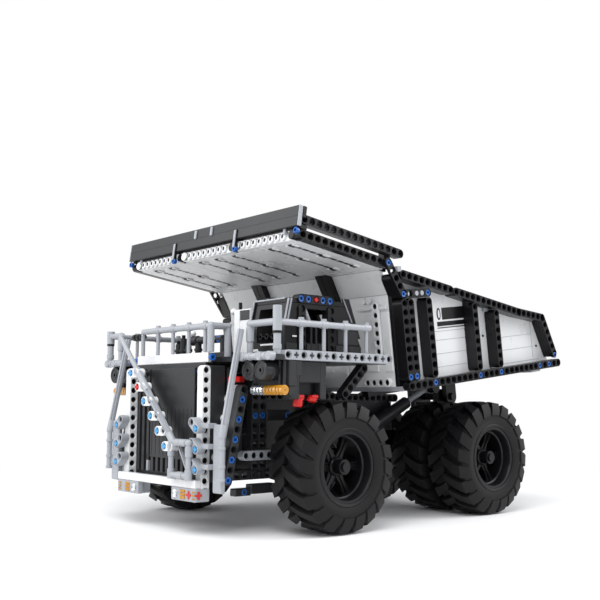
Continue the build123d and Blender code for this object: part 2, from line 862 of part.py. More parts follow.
seat_top = deck_top + seat_height
with BuildPart() as cab_seat:
    with BuildSketch(side_plane(cab_mid_y)):
        with BuildLine():
            Polyline(
                (seat_rear_x, deck_top),
                (seat_rear_x + seat_length, deck_top),
                (seat_rear_x + seat_length, seat_top),
                (seat_rear_x + seat_back_t, seat_top),
                (seat_rear_x + seat_back_t - seat_back_lean, deck_top + seat_back_top),
                (seat_rear_x, deck_top + seat_back_top),
                close=True,
            )
        make_face()
    extrude(amount=seat_width / 2, both=True)
cab_seat.part.label = "cab_seat"
export_step(cab_seat.part, "parts/cab_seat.step")

# Brackets on the rails with the pins of the hoist cylinders
bracket_outer_y = hoist_y - eye_half - seat_gap
hoist_pin_y = hoist_y + eye_half + hoist_pin_end
with BuildPart() as hoist_brackets:
    for side in sides.values():
        reach = side * (outer_rail_y + bracket_outer_y) / 2
        with Locations((hoist_low_x, reach, rail_top - half_beam - hoist_bracket_drop)):
            Box(hoist_bracket_length, bracket_outer_y - outer_rail_y, beam)
        with Locations((hoist_low_x, side * (bracket_outer_y + hoist_pin_y) / 2, hoist_low_z)):
            Cylinder(hole_r, hoist_pin_y - bracket_outer_y, rotation=(90, 0, 0))
hoist_brackets.part.label = "hoist_brackets"
export_step(hoist_brackets.part, "parts/hoist_brackets.step")

# Knuckles: a barrel on the kingpin, a stub shaft and a steering arm
stub_end_y = front_tyre_y + hub_length / 2 + pin_end
arm_top_z = axle_z - knuckle_height / 2 + arm_thickness
link_top_z = axle_z - knuckle_height / 2 - link_gap
link_low_z = link_top_z - link_thickness


def knuckle(side):
    """Knuckle of one side, bored for its kingpin."""
    place = side * kingpin_y
    with Locations((front_axle_x, place, axle_z)):
        Cylinder(knuckle_r, knuckle_height)
    with Locations((front_axle_x, side * (kingpin_y + stub_end_y) / 2, axle_z)):
        Cylinder(shaft_r, stub_end_y - kingpin_y, rotation=(90, 0, 0))
    with BuildSketch(Plane.XY.offset(arm_top_z - arm_thickness)) as arm:
        with Locations((front_axle_x - steer_arm / 2, place)):
            SlotCenterToCenter(steer_arm, arm_width)
    extrude(arm.sketch, amount=arm_thickness)
    with BuildSketch(Plane.XY.offset(link_low_z)) as link_pin:
        with Locations((front_axle_x - steer_arm, place)):
            Circle(hole_r)
    extrude(link_pin.sketch, amount=arm_top_z - link_low_z)
    with Locations((front_axle_x, place, axle_z)):
        Cylinder(kingpin_r + running_gap, knuckle_height, mode=Mode.SUBTRACT)


with BuildPart() as knuckle_left:
    knuckle(sides["left"])
knuckle_left.part.label = "knuckle_left"
export_step(knuckle_left.part, "parts/knuckle_left.step")

with BuildPart() as knuckle_right:
    knuckle(sides["right"])
knuckle_right.part.label = "knuckle_right"
export_step(knuckle_right.part, "parts/knuckle_right.step")

# Steering link between the two arms
with BuildPart() as steering_link:
    with BuildSketch(Plane.XY.offset(link_low_z)):
        with Locations((front_axle_x - steer_arm, 0)):
            SlotCenterToCenter(2 * kingpin_y, 2 * link_eye_r, rotation=90)
        with Locations((front_axle_x - steer_arm, kingpin_y), (front_axle_x - steer_arm, -kingpin_y)):
            Circle(link_hole_r, mode=Mode.SUBTRACT)
    extrude(amount=link_thickness)
steering_link.part.label = "steering_link"
export_step(steering_link.part, "parts/steering_link.step")

# One groove between two lugs, leaning outward from the middle of the tread
with BuildPart() as groove:
    with BuildSketch(side_plane(groove_from[1])):
        with BuildLine():
            Polyline(
                (groove_from[0], groove_from[2]),
                (groove_from[0] - groove_half, groove_from[2] + groove_height),
                (groove_from[0] + groove_half, groove_from[2] + groove_height),
                close=True,
            )
        make_face()
    extrude(amount=Vector(groove_run).length, dir=groove_run)

# One tyre round the origin, a half pitch between the lugs of its two sides
tyre_half = tyre_width / 2
lug_pitch = 360 / lug_count
with BuildPart() as master_tyre:
    crown_half = crown_width / 2
    crown = ((-tyre_half, shoulder_r), (-crown_half, tyre_r), (crown_half, tyre_r), (tyre_half, shoulder_r))
    loft([wheel_section(place, radius, tyre_sides) for place, radius in crown], ruled=True)
    seat_half = tyre_half - recess_depth
    seat = ((-tyre_half, recess_r), (-seat_half, bead_r), (seat_half, bead_r), (tyre_half, recess_r))
    loft([wheel_section(place, radius, bore_sides) for place, radius in seat], ruled=True, mode=Mode.SUBTRACT)
    near_grooves = [groove.part.rotate(Axis.Y, step * lug_pitch) for step in range(lug_count)]
    far_groove = groove.part.mirror(Plane.XZ).rotate(Axis.Y, lug_pitch / 2)
    far_grooves = [far_groove.rotate(Axis.Y, step * lug_pitch) for step in range(lug_count)]
    add(near_grooves + far_grooves, mode=Mode.SUBTRACT)


def tyre(x, y):
    """Tyre of one wheel."""
    with Locations((x, y, axle_z)):
        add(master_tyre.part)


def rim(x, y, hub_start, hub_end):
    """Rim ring, tapered spokes and hub of one wheel, with its bore."""
    with BuildSketch(side_plane(y)) as ring:
        with Locations((x, axle_z)):
            RegularPolygon(rim_r, bore_sides)
            RegularPolygon(rim_r - rim_wall, bore_sides, mode=Mode.SUBTRACT)
    extrude(ring.sketch, amount=rim_width / 2, both=True)
    with BuildSketch(side_plane(y)) as spokes:
        with Locations((x, axle_z)):
            RegularPolygon(hub_r, hub_sides)
            with PolarLocations(0, spoke_count):
                edge = [(reach, half) for reach, half in spoke_outline]
                Polygon(*edge, *[(reach, -half) for reach, half in reversed(edge)], align=None)
    extrude(spokes.sketch, amount=spoke_plate / 2, both=True)
    with BuildSketch(side_plane(hub_start)) as hub:
        with Locations((x, axle_z)):
            RegularPolygon(hub_r, hub_sides)
    extrude(hub.sketch, amount=hub_start - hub_end)
    with Locations((x, (hub_start + hub_end) / 2, axle_z)):
        Cylinder(bore_r, abs(hub_end - hub_start) + 1, rotation=(90, 0, 0), mode=Mode.SUBTRACT)


# Front wheels
with BuildPart() as tyre_front_left:
    tyre(front_axle_x, front_tyre_y)
tyre_front_left.part.label = "tyre_front_left"
export_step(tyre_front_left.part, "parts/tyre_front_left.step")

with BuildPart() as tyre_front_right:
    tyre(front_axle_x, -front_tyre_y)
tyre_front_right.part.label = "tyre_front_right"
export_step(tyre_front_right.part, "parts/tyre_front_right.step")

with BuildPart() as rim_front_left:
    rim(front_axle_x, front_tyre_y, front_tyre_y - hub_length / 2, front_tyre_y + hub_length / 2)
rim_front_left.part.label = "rim_front_left"
export_step(rim_front_left.part, "parts/rim_front_left.step")

with BuildPart() as rim_front_right:
    rim(front_axle_x, -front_tyre_y, -front_tyre_y - hub_length / 2, -front_tyre_y + hub_length / 2)
rim_front_right.part.label = "rim_front_right"
export_step(rim_front_right.part, "parts/rim_front_right.step")

# Rear twin wheels, the two of a side joined by one hub
twin_hub_start = rear_inner_y - hub_length / 2
twin_hub_end = rear_outer_y + hub_length / 2
with BuildPart() as tyres_rear_left:
    tyre(rear_axle_x, rear_outer_y)
    tyre(rear_axle_x, rear_inner_y)
tyres_rear_left.part.label = "tyres_rear_left"
export_step(tyres_rear_left.part, "parts/tyres_rear_left.step")

with BuildPart() as tyres_rear_right:
    tyre(rear_axle_x, -rear_outer_y)
    tyre(rear_axle_x, -rear_inner_y)
tyres_rear_right.part.label = "tyres_rear_right"
export_step(tyres_rear_right.part, "parts/tyres_rear_right.step")

with BuildPart() as rims_rear_left:
    rim(rear_axle_x, rear_outer_y, twin_hub_start, twin_hub_end)
    rim(rear_axle_x, rear_inner_y, twin_hub_start, twin_hub_end)
rims_rear_left.part.label = "rims_rear_left"
export_step(rims_rear_left.part, "parts/rims_rear_left.step")

with BuildPart() as rims_rear_right:
    rim(rear_axle_x, -rear_outer_y, -twin_hub_start, -twin_hub_end)
    rim(rear_axle_x, -rear_inner_y, -twin_hub_start, -twin_hub_end)
rims_rear_right.part.label = "rims_rear_right"
export_step(rims_rear_right.part, "parts/rims_rear_right.step")

# Hoist cylinders, lying from the rails up to the bed
hoist_dir = hoist_line.normalized()
hoist_side_dir = Vector(0, -1, 0)


def hoist_plane(side):
    """Plane of one hoist, x along the rod from the lower pin."""
    return Plane(
        origin=(hoist_low_x, side * hoist_y, hoist_low_z),
        x_dir=hoist_dir,
        z_dir=hoist_side_dir,
    )


def barrel(side):
    """Hollow barrel with its eye on the lower pin."""
    plane = hoist_plane(side)
    with BuildSketch(plane) as eye:
        Circle(eye_r)
        with Locations((barrel_start / 2, 0)):
            Rectangle(barrel_start, 2 * eye_half)
    extrude(eye.sketch, amount=eye_half, both=True)
    with BuildSketch(Plane(origin=plane.origin + hoist_dir * barrel_start, z_dir=hoist_dir)) as wall:
        Circle(barrel_r)
    extrude(wall.sketch, amount=barrel_length - barrel_start)
    cavity_start = plane.origin + hoist_dir * (barrel_start + barrel_floor)
    with BuildSketch(Plane(origin=cavity_start, z_dir=hoist_dir)) as cavity:
        Circle(rod_r + running_gap)
    extrude(cavity.sketch, amount=barrel_length, mode=Mode.SUBTRACT)
    with BuildSketch(plane) as bore:
        Circle(hole_r + running_gap)
    extrude(bore.sketch, amount=2 * eye_half, both=True, mode=Mode.SUBTRACT)


def rod(side):
    """Rod with its eye at the bed end."""
    plane = hoist_plane(side)
    end = plane.origin + hoist_line
    with BuildSketch(Plane(origin=end, x_dir=hoist_dir, z_dir=hoist_side_dir)) as eye:
        Circle(eye_r)
    extrude(eye.sketch, amount=eye_half, both=True)
    with BuildSketch(Plane(origin=end - hoist_dir * rod_length, z_dir=hoist_dir)) as stem:
        Circle(rod_r)
    extrude(stem.sketch, amount=rod_length - eye_r * stem_reach)
    with BuildSketch(Plane(origin=end, x_dir=hoist_dir, z_dir=hoist_side_dir)) as bore:
        Circle(hole_r)
    extrude(bore.sketch, amount=2 * eye_half, both=True, mode=Mode.SUBTRACT)


with BuildPart() as hoist_barrel_left:
    barrel(sides["left"])
hoist_barrel_left.part.label = "hoist_barrel_left"
export_step(hoist_barrel_left.part, "parts/hoist_barrel_left.step")

with BuildPart() as hoist_barrel_right:
    barrel(sides["right"])
hoist_barrel_right.part.label = "hoist_barrel_right"
export_step(hoist_barrel_right.part, "parts/hoist_barrel_right.step")

with BuildPart() as hoist_rod_left:
    rod(sides["left"])
hoist_rod_left.part.label = "hoist_rod_left"
export_step(hoist_rod_left.part, "parts/hoist_rod_left.step")

with BuildPart() as hoist_rod_right:
    rod(sides["right"])
hoist_rod_right.part.label = "hoist_rod_right"
export_step(hoist_rod_right.part, "parts/hoist_rod_right.step")

# Bed floor
bed_front = half_beam
with BuildPart() as bed_floor:
    with BuildSketch(bed_side(0)):
        with Locations(((bed_tail + bed_front) / 2, bed_floor_top - bed_floor_t / 2)):
            Rectangle(bed_front - bed_tail, bed_floor_t)
    extrude(amount=bed_floor_half, both=True)
bed_floor.part.label = "bed_floor"
export_step(bed_floor.part, "parts/bed_floor.step")

# Bed side panels, standing inside the rails
panel_mid_y = bed_panel_outer_y - bed_panel_t / 2


def side_panel(side):
    """White panel of one side of the bed."""
    with BuildSketch(bed_side(side * panel_mid_y)) as outline:
        with BuildLine():
            Polyline(
                (-half_beam, bed_floor_top),
                (bed_tail, bed_floor_top),
                tail_low,
                top_rail_rear,
                top_rail_bend,
                panel_front_top,
                close=True,
            )
        make_face()
    extrude(outline.sketch, amount=bed_panel_t / 2, both=True)


with BuildPart() as bed_side_left:
    side_panel(sides["left"])
bed_side_left.part.label = "bed_side_left"
export_step(bed_side_left.part, "parts/bed_side_left.step")

with BuildPart() as bed_side_right:
    side_panel(sides["right"])
bed_side_right.part.label = "bed_side_right"
export_step(bed_side_right.part, "parts/bed_side_right.step")

# Places of the canopy's rear end, seen from the bed
canopy_rear = -module * (canopy_lower_holes - 1)
canopy_rear_edge = canopy_rear - half_beam
canopy_tail = bed_plane.to_local_coords(canopy_plane.from_local_coords((canopy_rear, 0, 0)))
wall_head = bed_plane.to_local_coords(canopy_plane.from_local_coords((canopy_rear_edge, -half_beam, 0)))
wall_back = bed_plane.to_local_coords(
    canopy_plane.from_local_coords((canopy_rear_edge - bed_panel_t, -half_beam, 0))
)
strut_head = bed_plane.to_local_coords(
    canopy_plane.from_local_coords((canopy_rear_edge + module, -half_beam, 0))
)

# Bed front wall, leaning forward to the canopy
panel_inner_y = bed_panel_outer_y - bed_panel_t
with BuildPart() as bed_front_wall:
    with BuildSketch(bed_side(0)):
        with BuildLine():
            Polyline(
                (bed_front - bed_panel_t, bed_floor_top),
                (bed_front, bed_floor_top),
                (bed_front, bed_wall_top),
                (wall_head.X, wall_head.Y),
                (wall_back.X, wall_back.Y),
                (bed_front - bed_panel_t, bed_wall_top + wall_fold),
                close=True,
            )
        make_face()
    extrude(amount=panel_inner_y, both=True)
bed_front_wall.part.label = "bed_front_wall"
export_step(bed_front_wall.part, "parts/bed_front_wall.step")

# Pin-hole rails round the bed sides
rib_mid_y = bed_rail_y + half_beam - bed_rib_depth / 2
with BuildPart() as bed_rails:
    for side in sides.values():
        with BuildSketch(bed_side(side * bed_rail_y)):
            bar((0, 0), (bed_tail, 0))
            pin_holes((0, 0), -module, bed_rail_holes, bed_hole_sides)
        extrude(amount=half_beam, both=True)
        with BuildSketch(bed_side(side * rib_mid_y)):
            bar(top_rail_front, top_rail_bend)
            bar(top_rail_bend, top_rail_rear)
            bar(top_rail_rear, tail_low)
        extrude(amount=bed_rib_depth / 2, both=True)
bed_rails.part.label = "bed_rails"
export_step(bed_rails.part, "parts/bed_rails.step")

# Upright ribs on the bed sides, the cap beam over the front ones and the struts up to the canopy
corner_inner_y = panel_inner_y + seat_gap
corner_outer_y = canopy_beam_y + half_beam + seat_gap
rail_outer_y = bed_rail_y + half_beam
with BuildPart() as bed_ribs:
    for side in sides.values():
        with BuildSketch(bed_side(side * rib_mid_y)):
            for place, low, high in ribs:
                bar((place, low), (place, high))
        extrude(amount=bed_rib_depth / 2, both=True)
        with BuildSketch(bed_side(side * rib_mid_y)):
            bar((0, rib_cap_z), (rib_cap_end, rib_cap_z))
        extrude(amount=bed_rib_depth / 2, both=True)
        with BuildSketch(bed_side(side * (corner_inner_y + bed_panel_t / 2))):
            with Locations((0, (bed_floor_top + rib_cap_z) / 2)):
                Rectangle(beam, rib_cap_z - bed_floor_top)
        extrude(amount=bed_panel_t / 2, both=True)
        with BuildSketch(bed_side(side * (corner_inner_y + corner_outer_y) / 2)):
            bar((0, rib_cap_z), strut_inner_top)
        extrude(amount=(corner_outer_y - corner_inner_y) / 2, both=True)
        with BuildSketch(bed_side(side * (corner_outer_y + rail_outer_y) / 2)):
            bar((0, rib_cap_z), (canopy_tail.X, canopy_tail.Y))
        extrude(amount=(rail_outer_y - corner_outer_y) / 2, both=True)
        with BuildSketch(bed_side(side * mid_strut_y)):
            with BuildLine():
                Polyline(
                    (bed_front, mid_strut_low),
                    (bed_front + mid_strut_depth, mid_strut_low),
                    (bed_front + mid_strut_depth, mid_strut_knee),
                    (strut_head.X, strut_head.Y),
                    (wall_head.X, wall_head.Y),
                    (bed_front, bed_wall_top),
                    close=True,
                )
            make_face()
        extrude(amount=mid_strut_width / 2, both=True)
bed_ribs.part.label = "bed_ribs"
export_step(bed_ribs.part, "parts/bed_ribs.step")

# Beams under the bed, with the ears on the pivot pin and the hoist brackets
floor_under = bed_floor_top - bed_floor_t
with BuildPart() as bed_underframe:
    for side in sides.values():
        with BuildSketch(bed_side(side * under_beam_y)):
            with Locations(((under_beam_rear + under_beam_front) / 2, floor_under - under_beam_drop / 2)):
                Rectangle(under_beam_front - under_beam_rear, under_beam_drop)
            with Locations((hoist_eye_x, (floor_under + hoist_eye_drop) / 2)):
                Rectangle(2 * eye_r, floor_under - hoist_eye_drop)
            with Locations((hoist_eye_x, hoist_eye_drop)):
                Circle(eye_r)
        extrude(amount=half_beam, both=True)
        with BuildSketch(bed_side(side * (ear_inner_y + ear_outer_y) / 2)):
            with Locations((pivot_local.X, (floor_under + pivot_local.Y) / 2)):
                Rectangle(2 * ear_r, floor_under - pivot_local.Y)
            with Locations((pivot_local.X, pivot_local.Y)):
                Circle(ear_r)
                Circle(bed_pin_r + running_gap, mode=Mode.SUBTRACT)
        extrude(amount=(ear_outer_y - ear_inner_y) / 2, both=True)
        with BuildSketch(bed_side(side * hoist_lug_y)):
            with Locations((hoist_eye_x, (floor_under + hoist_eye_drop) / 2)):
                Rectangle(2 * eye_r, floor_under - hoist_eye_drop)
            with Locations((hoist_eye_x, hoist_eye_drop)):
                Circle(eye_r)
        extrude(amount=hoist_lug_half, both=True)
bed_underframe.part.label = "bed_underframe"
export_step(bed_underframe.part, "parts/bed_underframe.step")

# Canopy plate over the cab and the deck, with the strip of three beams along its front
canopy_upper_rear = -module * (canopy_upper_holes - 1)
strip_plane = Plane(
    origin=canopy_plane.from_local_coords((-half_beam, 0, 0)),
    x_dir=(0, 1, 0),
    z_dir=canopy_plane.x_dir,
)
with BuildPart() as canopy_plate:
    with BuildSketch(canopy_side(0)):
        with Locations(((canopy_rear_edge - half_beam - seat_gap) / 2, (canopy_plate_t - beam) / 2)):
            Rectangle(-half_beam - seat_gap - canopy_rear_edge, canopy_plate_t)
    extrude(amount=canopy_inner_y, both=True)
    with BuildSketch(strip_plane):
        with GridLocations(strip_beam_length + 2 * seat_gap, 1, 3, 1):
            SlotOverall(strip_beam_length, beam)
    extrude(amount=beam)
canopy_plate.part.label = "canopy_plate"
export_step(canopy_plate.part, "parts/canopy_plate.step")

# Pin-hole beams along the canopy's sides, the one across its rear and the posts between the layers
cross_beam_mid = canopy_rear_edge - seat_gap - half_beam
with BuildPart() as canopy_beams:
    for side in sides.values():
        with BuildSketch(canopy_side(side * canopy_beam_y)):
            bar((0, 0), (canopy_rear, 0))
            bar((0, canopy_gap), (canopy_upper_rear, canopy_gap))
        extrude(amount=half_beam, both=True)
        with BuildSketch(canopy_side(side * (canopy_inner_y - half_beam))):
            for place in (0, cross_beam_mid):
                bar((place, beam + seat_gap), (place, canopy_gap))
        extrude(amount=half_beam, both=True)
    with BuildSketch(canopy_side(0)):
        with Locations((cross_beam_mid, 0)):
            Rectangle(beam, beam)
    extrude(amount=canopy_inner_y, both=True)
canopy_beams.part.label = "canopy_beams"
export_step(canopy_beams.part, "parts/canopy_beams.step")

# Plain fascia across the canopy's front
with BuildPart() as canopy_fascia:
    with BuildSketch(canopy_side(0)):
        with Locations((half_beam + fascia_t / 2, (fascia_low + fascia_high) / 2)):
            Rectangle(fascia_t, fascia_high - fascia_low)
    extrude(amount=fascia_half, both=True)
canopy_fascia.part.label = "canopy_fascia"
export_step(canopy_fascia.part, "parts/canopy_fascia.step")
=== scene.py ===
import logging
import math
from collections.abc import Iterable
from dataclasses import dataclass, field
from enum import Enum

import bmesh
import bpy
from mathutils import Matrix, Vector


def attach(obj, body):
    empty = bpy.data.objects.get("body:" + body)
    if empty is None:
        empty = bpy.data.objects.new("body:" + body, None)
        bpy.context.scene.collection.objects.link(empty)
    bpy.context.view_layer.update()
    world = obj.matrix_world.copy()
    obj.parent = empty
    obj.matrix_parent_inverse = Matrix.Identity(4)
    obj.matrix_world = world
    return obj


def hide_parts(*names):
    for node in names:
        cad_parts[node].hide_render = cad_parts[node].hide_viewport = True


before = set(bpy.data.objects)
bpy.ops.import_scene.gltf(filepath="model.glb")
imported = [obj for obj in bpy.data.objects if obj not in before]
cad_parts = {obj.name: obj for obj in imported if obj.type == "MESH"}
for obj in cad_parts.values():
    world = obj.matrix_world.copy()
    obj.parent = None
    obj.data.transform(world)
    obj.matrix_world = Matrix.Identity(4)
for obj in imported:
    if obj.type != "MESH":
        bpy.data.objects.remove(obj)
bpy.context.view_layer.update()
LOG = logging.getLogger("scene")

# Sizes of the building system, in millimetres
MM = 0.001
MODULE = 8.0
BEAM = 7.8
HALF = BEAM / 2
HOLE_R = 2.45
COUNTERBORE_R = 3.1
COUNTERBORE_DEPTH = 0.9
EDGE = 0.25
RING = 16

# Signs of the left and right sides, and the four quarter turns as cosine and sine
SIDES = (1, -1)
QUARTERS = ((1, 0), (0, 1), (-1, 0), (0, -1))

X = Vector((1, 0, 0))
Y = Vector((0, 1, 0))
Z = Vector((0, 0, 1))

Point = Vector | tuple[float, float, float]
Pair = tuple[float, float]
Outline = list[Pair]


class Body(Enum):
    """The moving bodies of the frame that new pieces ride on."""

    CHASSIS = "chassis"
    BED = "bed"
    WHEEL_FRONT_LEFT = "wheel_front_left"
    WHEEL_FRONT_RIGHT = "wheel_front_right"
    WHEELS_REAR_LEFT = "wheels_rear_left"
    WHEELS_REAR_RIGHT = "wheels_rear_right"


class Cell(Enum):
    """The forms that one module of a pin-hole beam can have."""

    MIDDLE = "mid"
    END = "end"
    SOLO = "solo"

    def open_sides(self) -> tuple[int, ...]:
        """Signs of local x where the module joins a neighbour."""
        return {Cell.MIDDLE: (1, -1), Cell.END: (1,), Cell.SOLO: ()}[self]


@dataclass(frozen=True)
class Finish:
    """One moulded finish: its colour, gloss, mottle and fine surface texture."""

    name: str
    color: tuple[float, float, float]
    slot: str
    roughness: float = 0.3
    mottle: float = 0.06
    grain: float = 0.02
    grain_scale: float = 900.0
    transmission: float = 0.0
    coat: float = 0.1
    specular: float = 0.5
    mottle_scale: float = 38.0
    grain_depth: float = 0.0004

    def material(self) -> bpy.types.Material:
        """Gives the finish's material, made the first time it is asked for.

        Returns:
            The material, with its pattern on Object coordinates.
        """
        found = bpy.data.materials.get(self.name)
        if found:
            return found
        mat = bpy.data.materials.new(self.name)
        mat.use_nodes = True
        nodes, links = mat.node_tree.nodes, mat.node_tree.links
        shader = nodes["Principled BSDF"]
        place = nodes.new("ShaderNodeTexCoord")
        cloud = nodes.new("ShaderNodeTexNoise")
        cloud.inputs["Scale"].default_value = self.mottle_scale
        cloud.inputs["Detail"].default_value = 3.0
        links.new(place.outputs["Object"], cloud.inputs["Vector"])
        mix = nodes.new("ShaderNodeMix")
        mix.data_type = "RGBA"
        mix.inputs["A"].default_value = (*[c * (1 - self.mottle) for c in self.color], 1)
        mix.inputs["B"].default_value = (*[min(1, c * (1 + self.mottle)) for c in self.color], 1)
        links.new(cloud.outputs["Fac"], mix.inputs["Factor"])
        links.new(mix.outputs["Result"], shader.inputs["Base Color"])
        gloss = nodes.new("ShaderNodeMapRange")
        gloss.inputs["To Min"].default_value = self.roughness * 0.8
        gloss.inputs["To Max"].default_value = self.roughness * 1.25
        links.new(cloud.outputs["Fac"], gloss.inputs["Value"])
        links.new(gloss.outputs["Result"], shader.inputs["Roughness"])
        grain = nodes.new("ShaderNodeTexNoise")
        grain.inputs["Scale"].default_value = self.grain_scale
        links.new(place.outputs["Object"], grain.inputs["Vector"])
        bump = nodes.new("ShaderNodeBump")
        bump.inputs["Strength"].default_value = self.grain
        bump.inputs["Distance"].default_value = self.grain_depth
        links.new(grain.outputs["Fac"], bump.inputs["Height"])
        links.new(bump.outputs["Normal"], shader.inputs["Normal"])
        shader.inputs["Coat Weight"].default_value = self.coat
        shader.inputs["Transmission Weight"].default_value = self.transmission
        shader.inputs["Specular IOR Level"].default_value = self.specular
        return mat


BLACK = Finish("black_plastic", (0.006, 0.006, 0.007), "black", 0.28, coat=0.0, specular=0.3)
DARK = Finish("dark_grey_plastic", (0.024, 0.025, 0.027), "dark_grey", 0.32, coat=0.0, specular=0.35)
GREY = Finish("light_grey_plastic", (0.34, 0.355, 0.385), "light_grey")
WHITE = Finish("white_plastic", (0.74, 0.75, 0.76), "white", 0.28)
BLUE = Finish("blue_plastic", (0.008, 0.10, 0.40), "blue")
AZURE = Finish("azure_plastic", (0.06, 0.30, 0.58), "blue")
RED = Finish("red_plastic", (0.55, 0.012, 0.01), "red", 0.28)
AMBER = Finish("amber_plastic", (0.52, 0.23, 0.004), "amber", 0.25, transmission=0.1, coat=0.0)
CLEAR = Finish("clear_plastic", (0.62, 0.65, 0.68), "clear", 0.14, transmission=0.75)
RUBBER = Finish(
    "tyre_rubber", (0.006, 0.006, 0.0065), "tyre", 0.5, 0.12, 0.25, grain_scale=700.0, coat=0.0, specular=0.22
)
RIM_BLACK = Finish("rim_plastic", (0.006, 0.006, 0.007), "black", 0.32, coat=0.0, specular=0.28)


def basis(origin: Point, x_dir: Vector, y_dir: Vector) -> Matrix:
    """Matrix that puts local x and y along two directions.

    Args:
        origin: Where the local origin goes.
        x_dir: Unit direction of local x.
        y_dir: Unit direction of local y.

    Returns:
        The 4x4 placing matrix, in millimetres.
    """
    turn = Matrix((x_dir, y_dir, x_dir.cross(y_dir))).transposed().to_4x4()
    return Matrix.Translation(origin) @ turn


def oval(wide: float, high: float, middle: Pair = (0, 0)) -> Outline:
    """Outline of an oval, anticlockwise from +x.

    Args:
        wide: Half its width.
        high: Half its height.
        middle: Where its middle lies.

    Returns:
        RING pairs of x and y.
    """
    turns = [2 * math.pi * step / RING for step in range(RING)]
    return [(middle[0] + wide * math.cos(turn), middle[1] + high * math.sin(turn)) for turn in turns]


def about(middle: float, half: float) -> Pair:
    """Span of a given half width about a middle."""
    return middle - half, middle + half


def cross_outline(half: float, arm: float) -> Outline:
    """Corners of a cross, anticlockwise.

    Args:
        half: Half its full width.
        arm: Half the width of one arm.

    Returns:
        Twelve pairs of x and y.
    """
    quarter = ((half, -arm), (half, arm), (arm, arm))
    return [(c * x - s * y, s * x + c * y) for c, s in QUARTERS for x, y in quarter]


class Cells:
    """Templates of one module of a pin-hole beam, made once and stamped in rows."""

    def __init__(self) -> None:
        """Starts with no template made."""
        self.made: dict[tuple[Cell, float, bool], bpy.types.Mesh] = {}

    @staticmethod
    def side_outline(kind: Cell, inset: float) -> Outline:
        """Outer corners of one module, anticlockwise from +x.

        Args:
            kind: The module's form; an end has its round end at -x.
            inset: How far its free edges are drawn in.

        Returns:
            RING pairs of x and y.
        """
        half = HALF - inset
        points = []
        for c, s in oval(1, 1):
            reach = max(abs(c), abs(s))
            straight = kind is Cell.MIDDLE or (kind is Cell.END and c > -1e-9)
            points.append((MODULE / 2 * c / reach, half * s / reach) if straight else (half * c, half * s))
        return points

    @staticmethod
    def cross_hole() -> Outline:
        """Corners of a cross hole as RING pairs of x and y, anticlockwise from +x."""
        long, arm = 2.5, 0.95
        quarter = ((long, 0), (long, arm), (arm, arm), (arm, long))
        return [(c * x - s * y, s * x + c * y) for c, s in QUARTERS for x, y in quarter]

    def rings(self, kind: Cell, thickness: float, cross: bool) -> list[list[Vector]]:
        """Rings of the module's skin: down its outside, up through its hole and back to the first.

        Args:
            kind: The module's form.
            thickness: Full thickness along the hole.
            cross: Whether its hole is a cross.

        Returns:
            The rings in order, each with RING points.
        """
        top = thickness / 2
        seat = top - COUNTERBORE_DEPTH
        wide, bore = oval(COUNTERBORE_R, COUNTERBORE_R), oval(HOLE_R, HOLE_R)
        hole = [(wide, -top), (wide, -seat), (bore, -seat), (bore, seat), (wide, seat), (wide, top)]
        if cross:
            hole = [(self.cross_hole(), -top), (self.cross_hole(), top)]
        full, drawn = self.side_outline(kind, 0.0), self.side_outline(kind, EDGE)
        skin = [(full, EDGE - top), (drawn, -top), *hole, (drawn, top), (full, top - EDGE)]
        return [[Vector((x, y, height)) for x, y in outline] for outline, height in skin]

    def model(self, kind: Cell, thickness: float, cross: bool) -> bpy.types.Mesh:
        """Models one module by extruding its first ring from ring to ring.

        Args:
            kind: The module's form.
            thickness: Full thickness along the hole.
            cross: Whether its hole is a cross.

        Returns:
            The mesh, about its hole's centre, open where it joins a neighbour.
        """
        bm = bmesh.new()
        rings = self.rings(kind, thickness, cross)
        ring = [bm.verts.new(spot) for spot in rings[0]]
        edges = [bm.edges.new(pair) for pair in zip(ring, ring[1:] + ring[:1])]
        for spots in rings[1:] + rings[:1]:
            grown = bmesh.ops.extrude_edge_only(bm, edges=edges)["geom"]
            edges = [part for part in grown if isinstance(part, bmesh.types.BMEdge) and part.is_boundary]
            fresh = {vert for edge in edges for vert in edge.verts}
            ring = [next(e.other_vert(v) for e in v.link_edges if e.other_vert(v) in fresh) for v in ring]
            for vert, spot in zip(ring, spots):
                vert.co = spot
        bmesh.ops.remove_doubles(bm, verts=bm.verts[:], dist=0.0001)
        bmesh.ops.recalc_face_normals(bm, faces=bm.faces[:])
        joints = [side * MODULE / 2 for side in kind.open_sides()]
        open_faces = [f for f in bm.faces for x in joints if all(abs(v.co.x - x) < 0.01 for v in f.verts)]
        bmesh.ops.delete(bm, geom=open_faces, context="FACES")
        mesh = bpy.data.meshes.new(f"cell_{kind.value}_{thickness:.1f}_{cross}")
        bm.to_mesh(mesh)
        bm.free()
        return mesh

    def template(self, kind: Cell, thickness: float, cross: bool = False) -> bpy.types.Mesh:
        """Gives the mesh of one module, modelled the first time it is asked for.

        Args:
            kind: The module's form.
            thickness: Full thickness along the hole.
            cross: Whether its hole is a cross.

        Returns:
            The template mesh.
        """
        key = (kind, thickness, cross)
        if key not in self.made:
            self.made[key] = self.model(kind, thickness, cross)
        return self.made[key]


CELLS = Cells()
TURN_BACK = Matrix.Rotation(math.pi, 4, "Z")


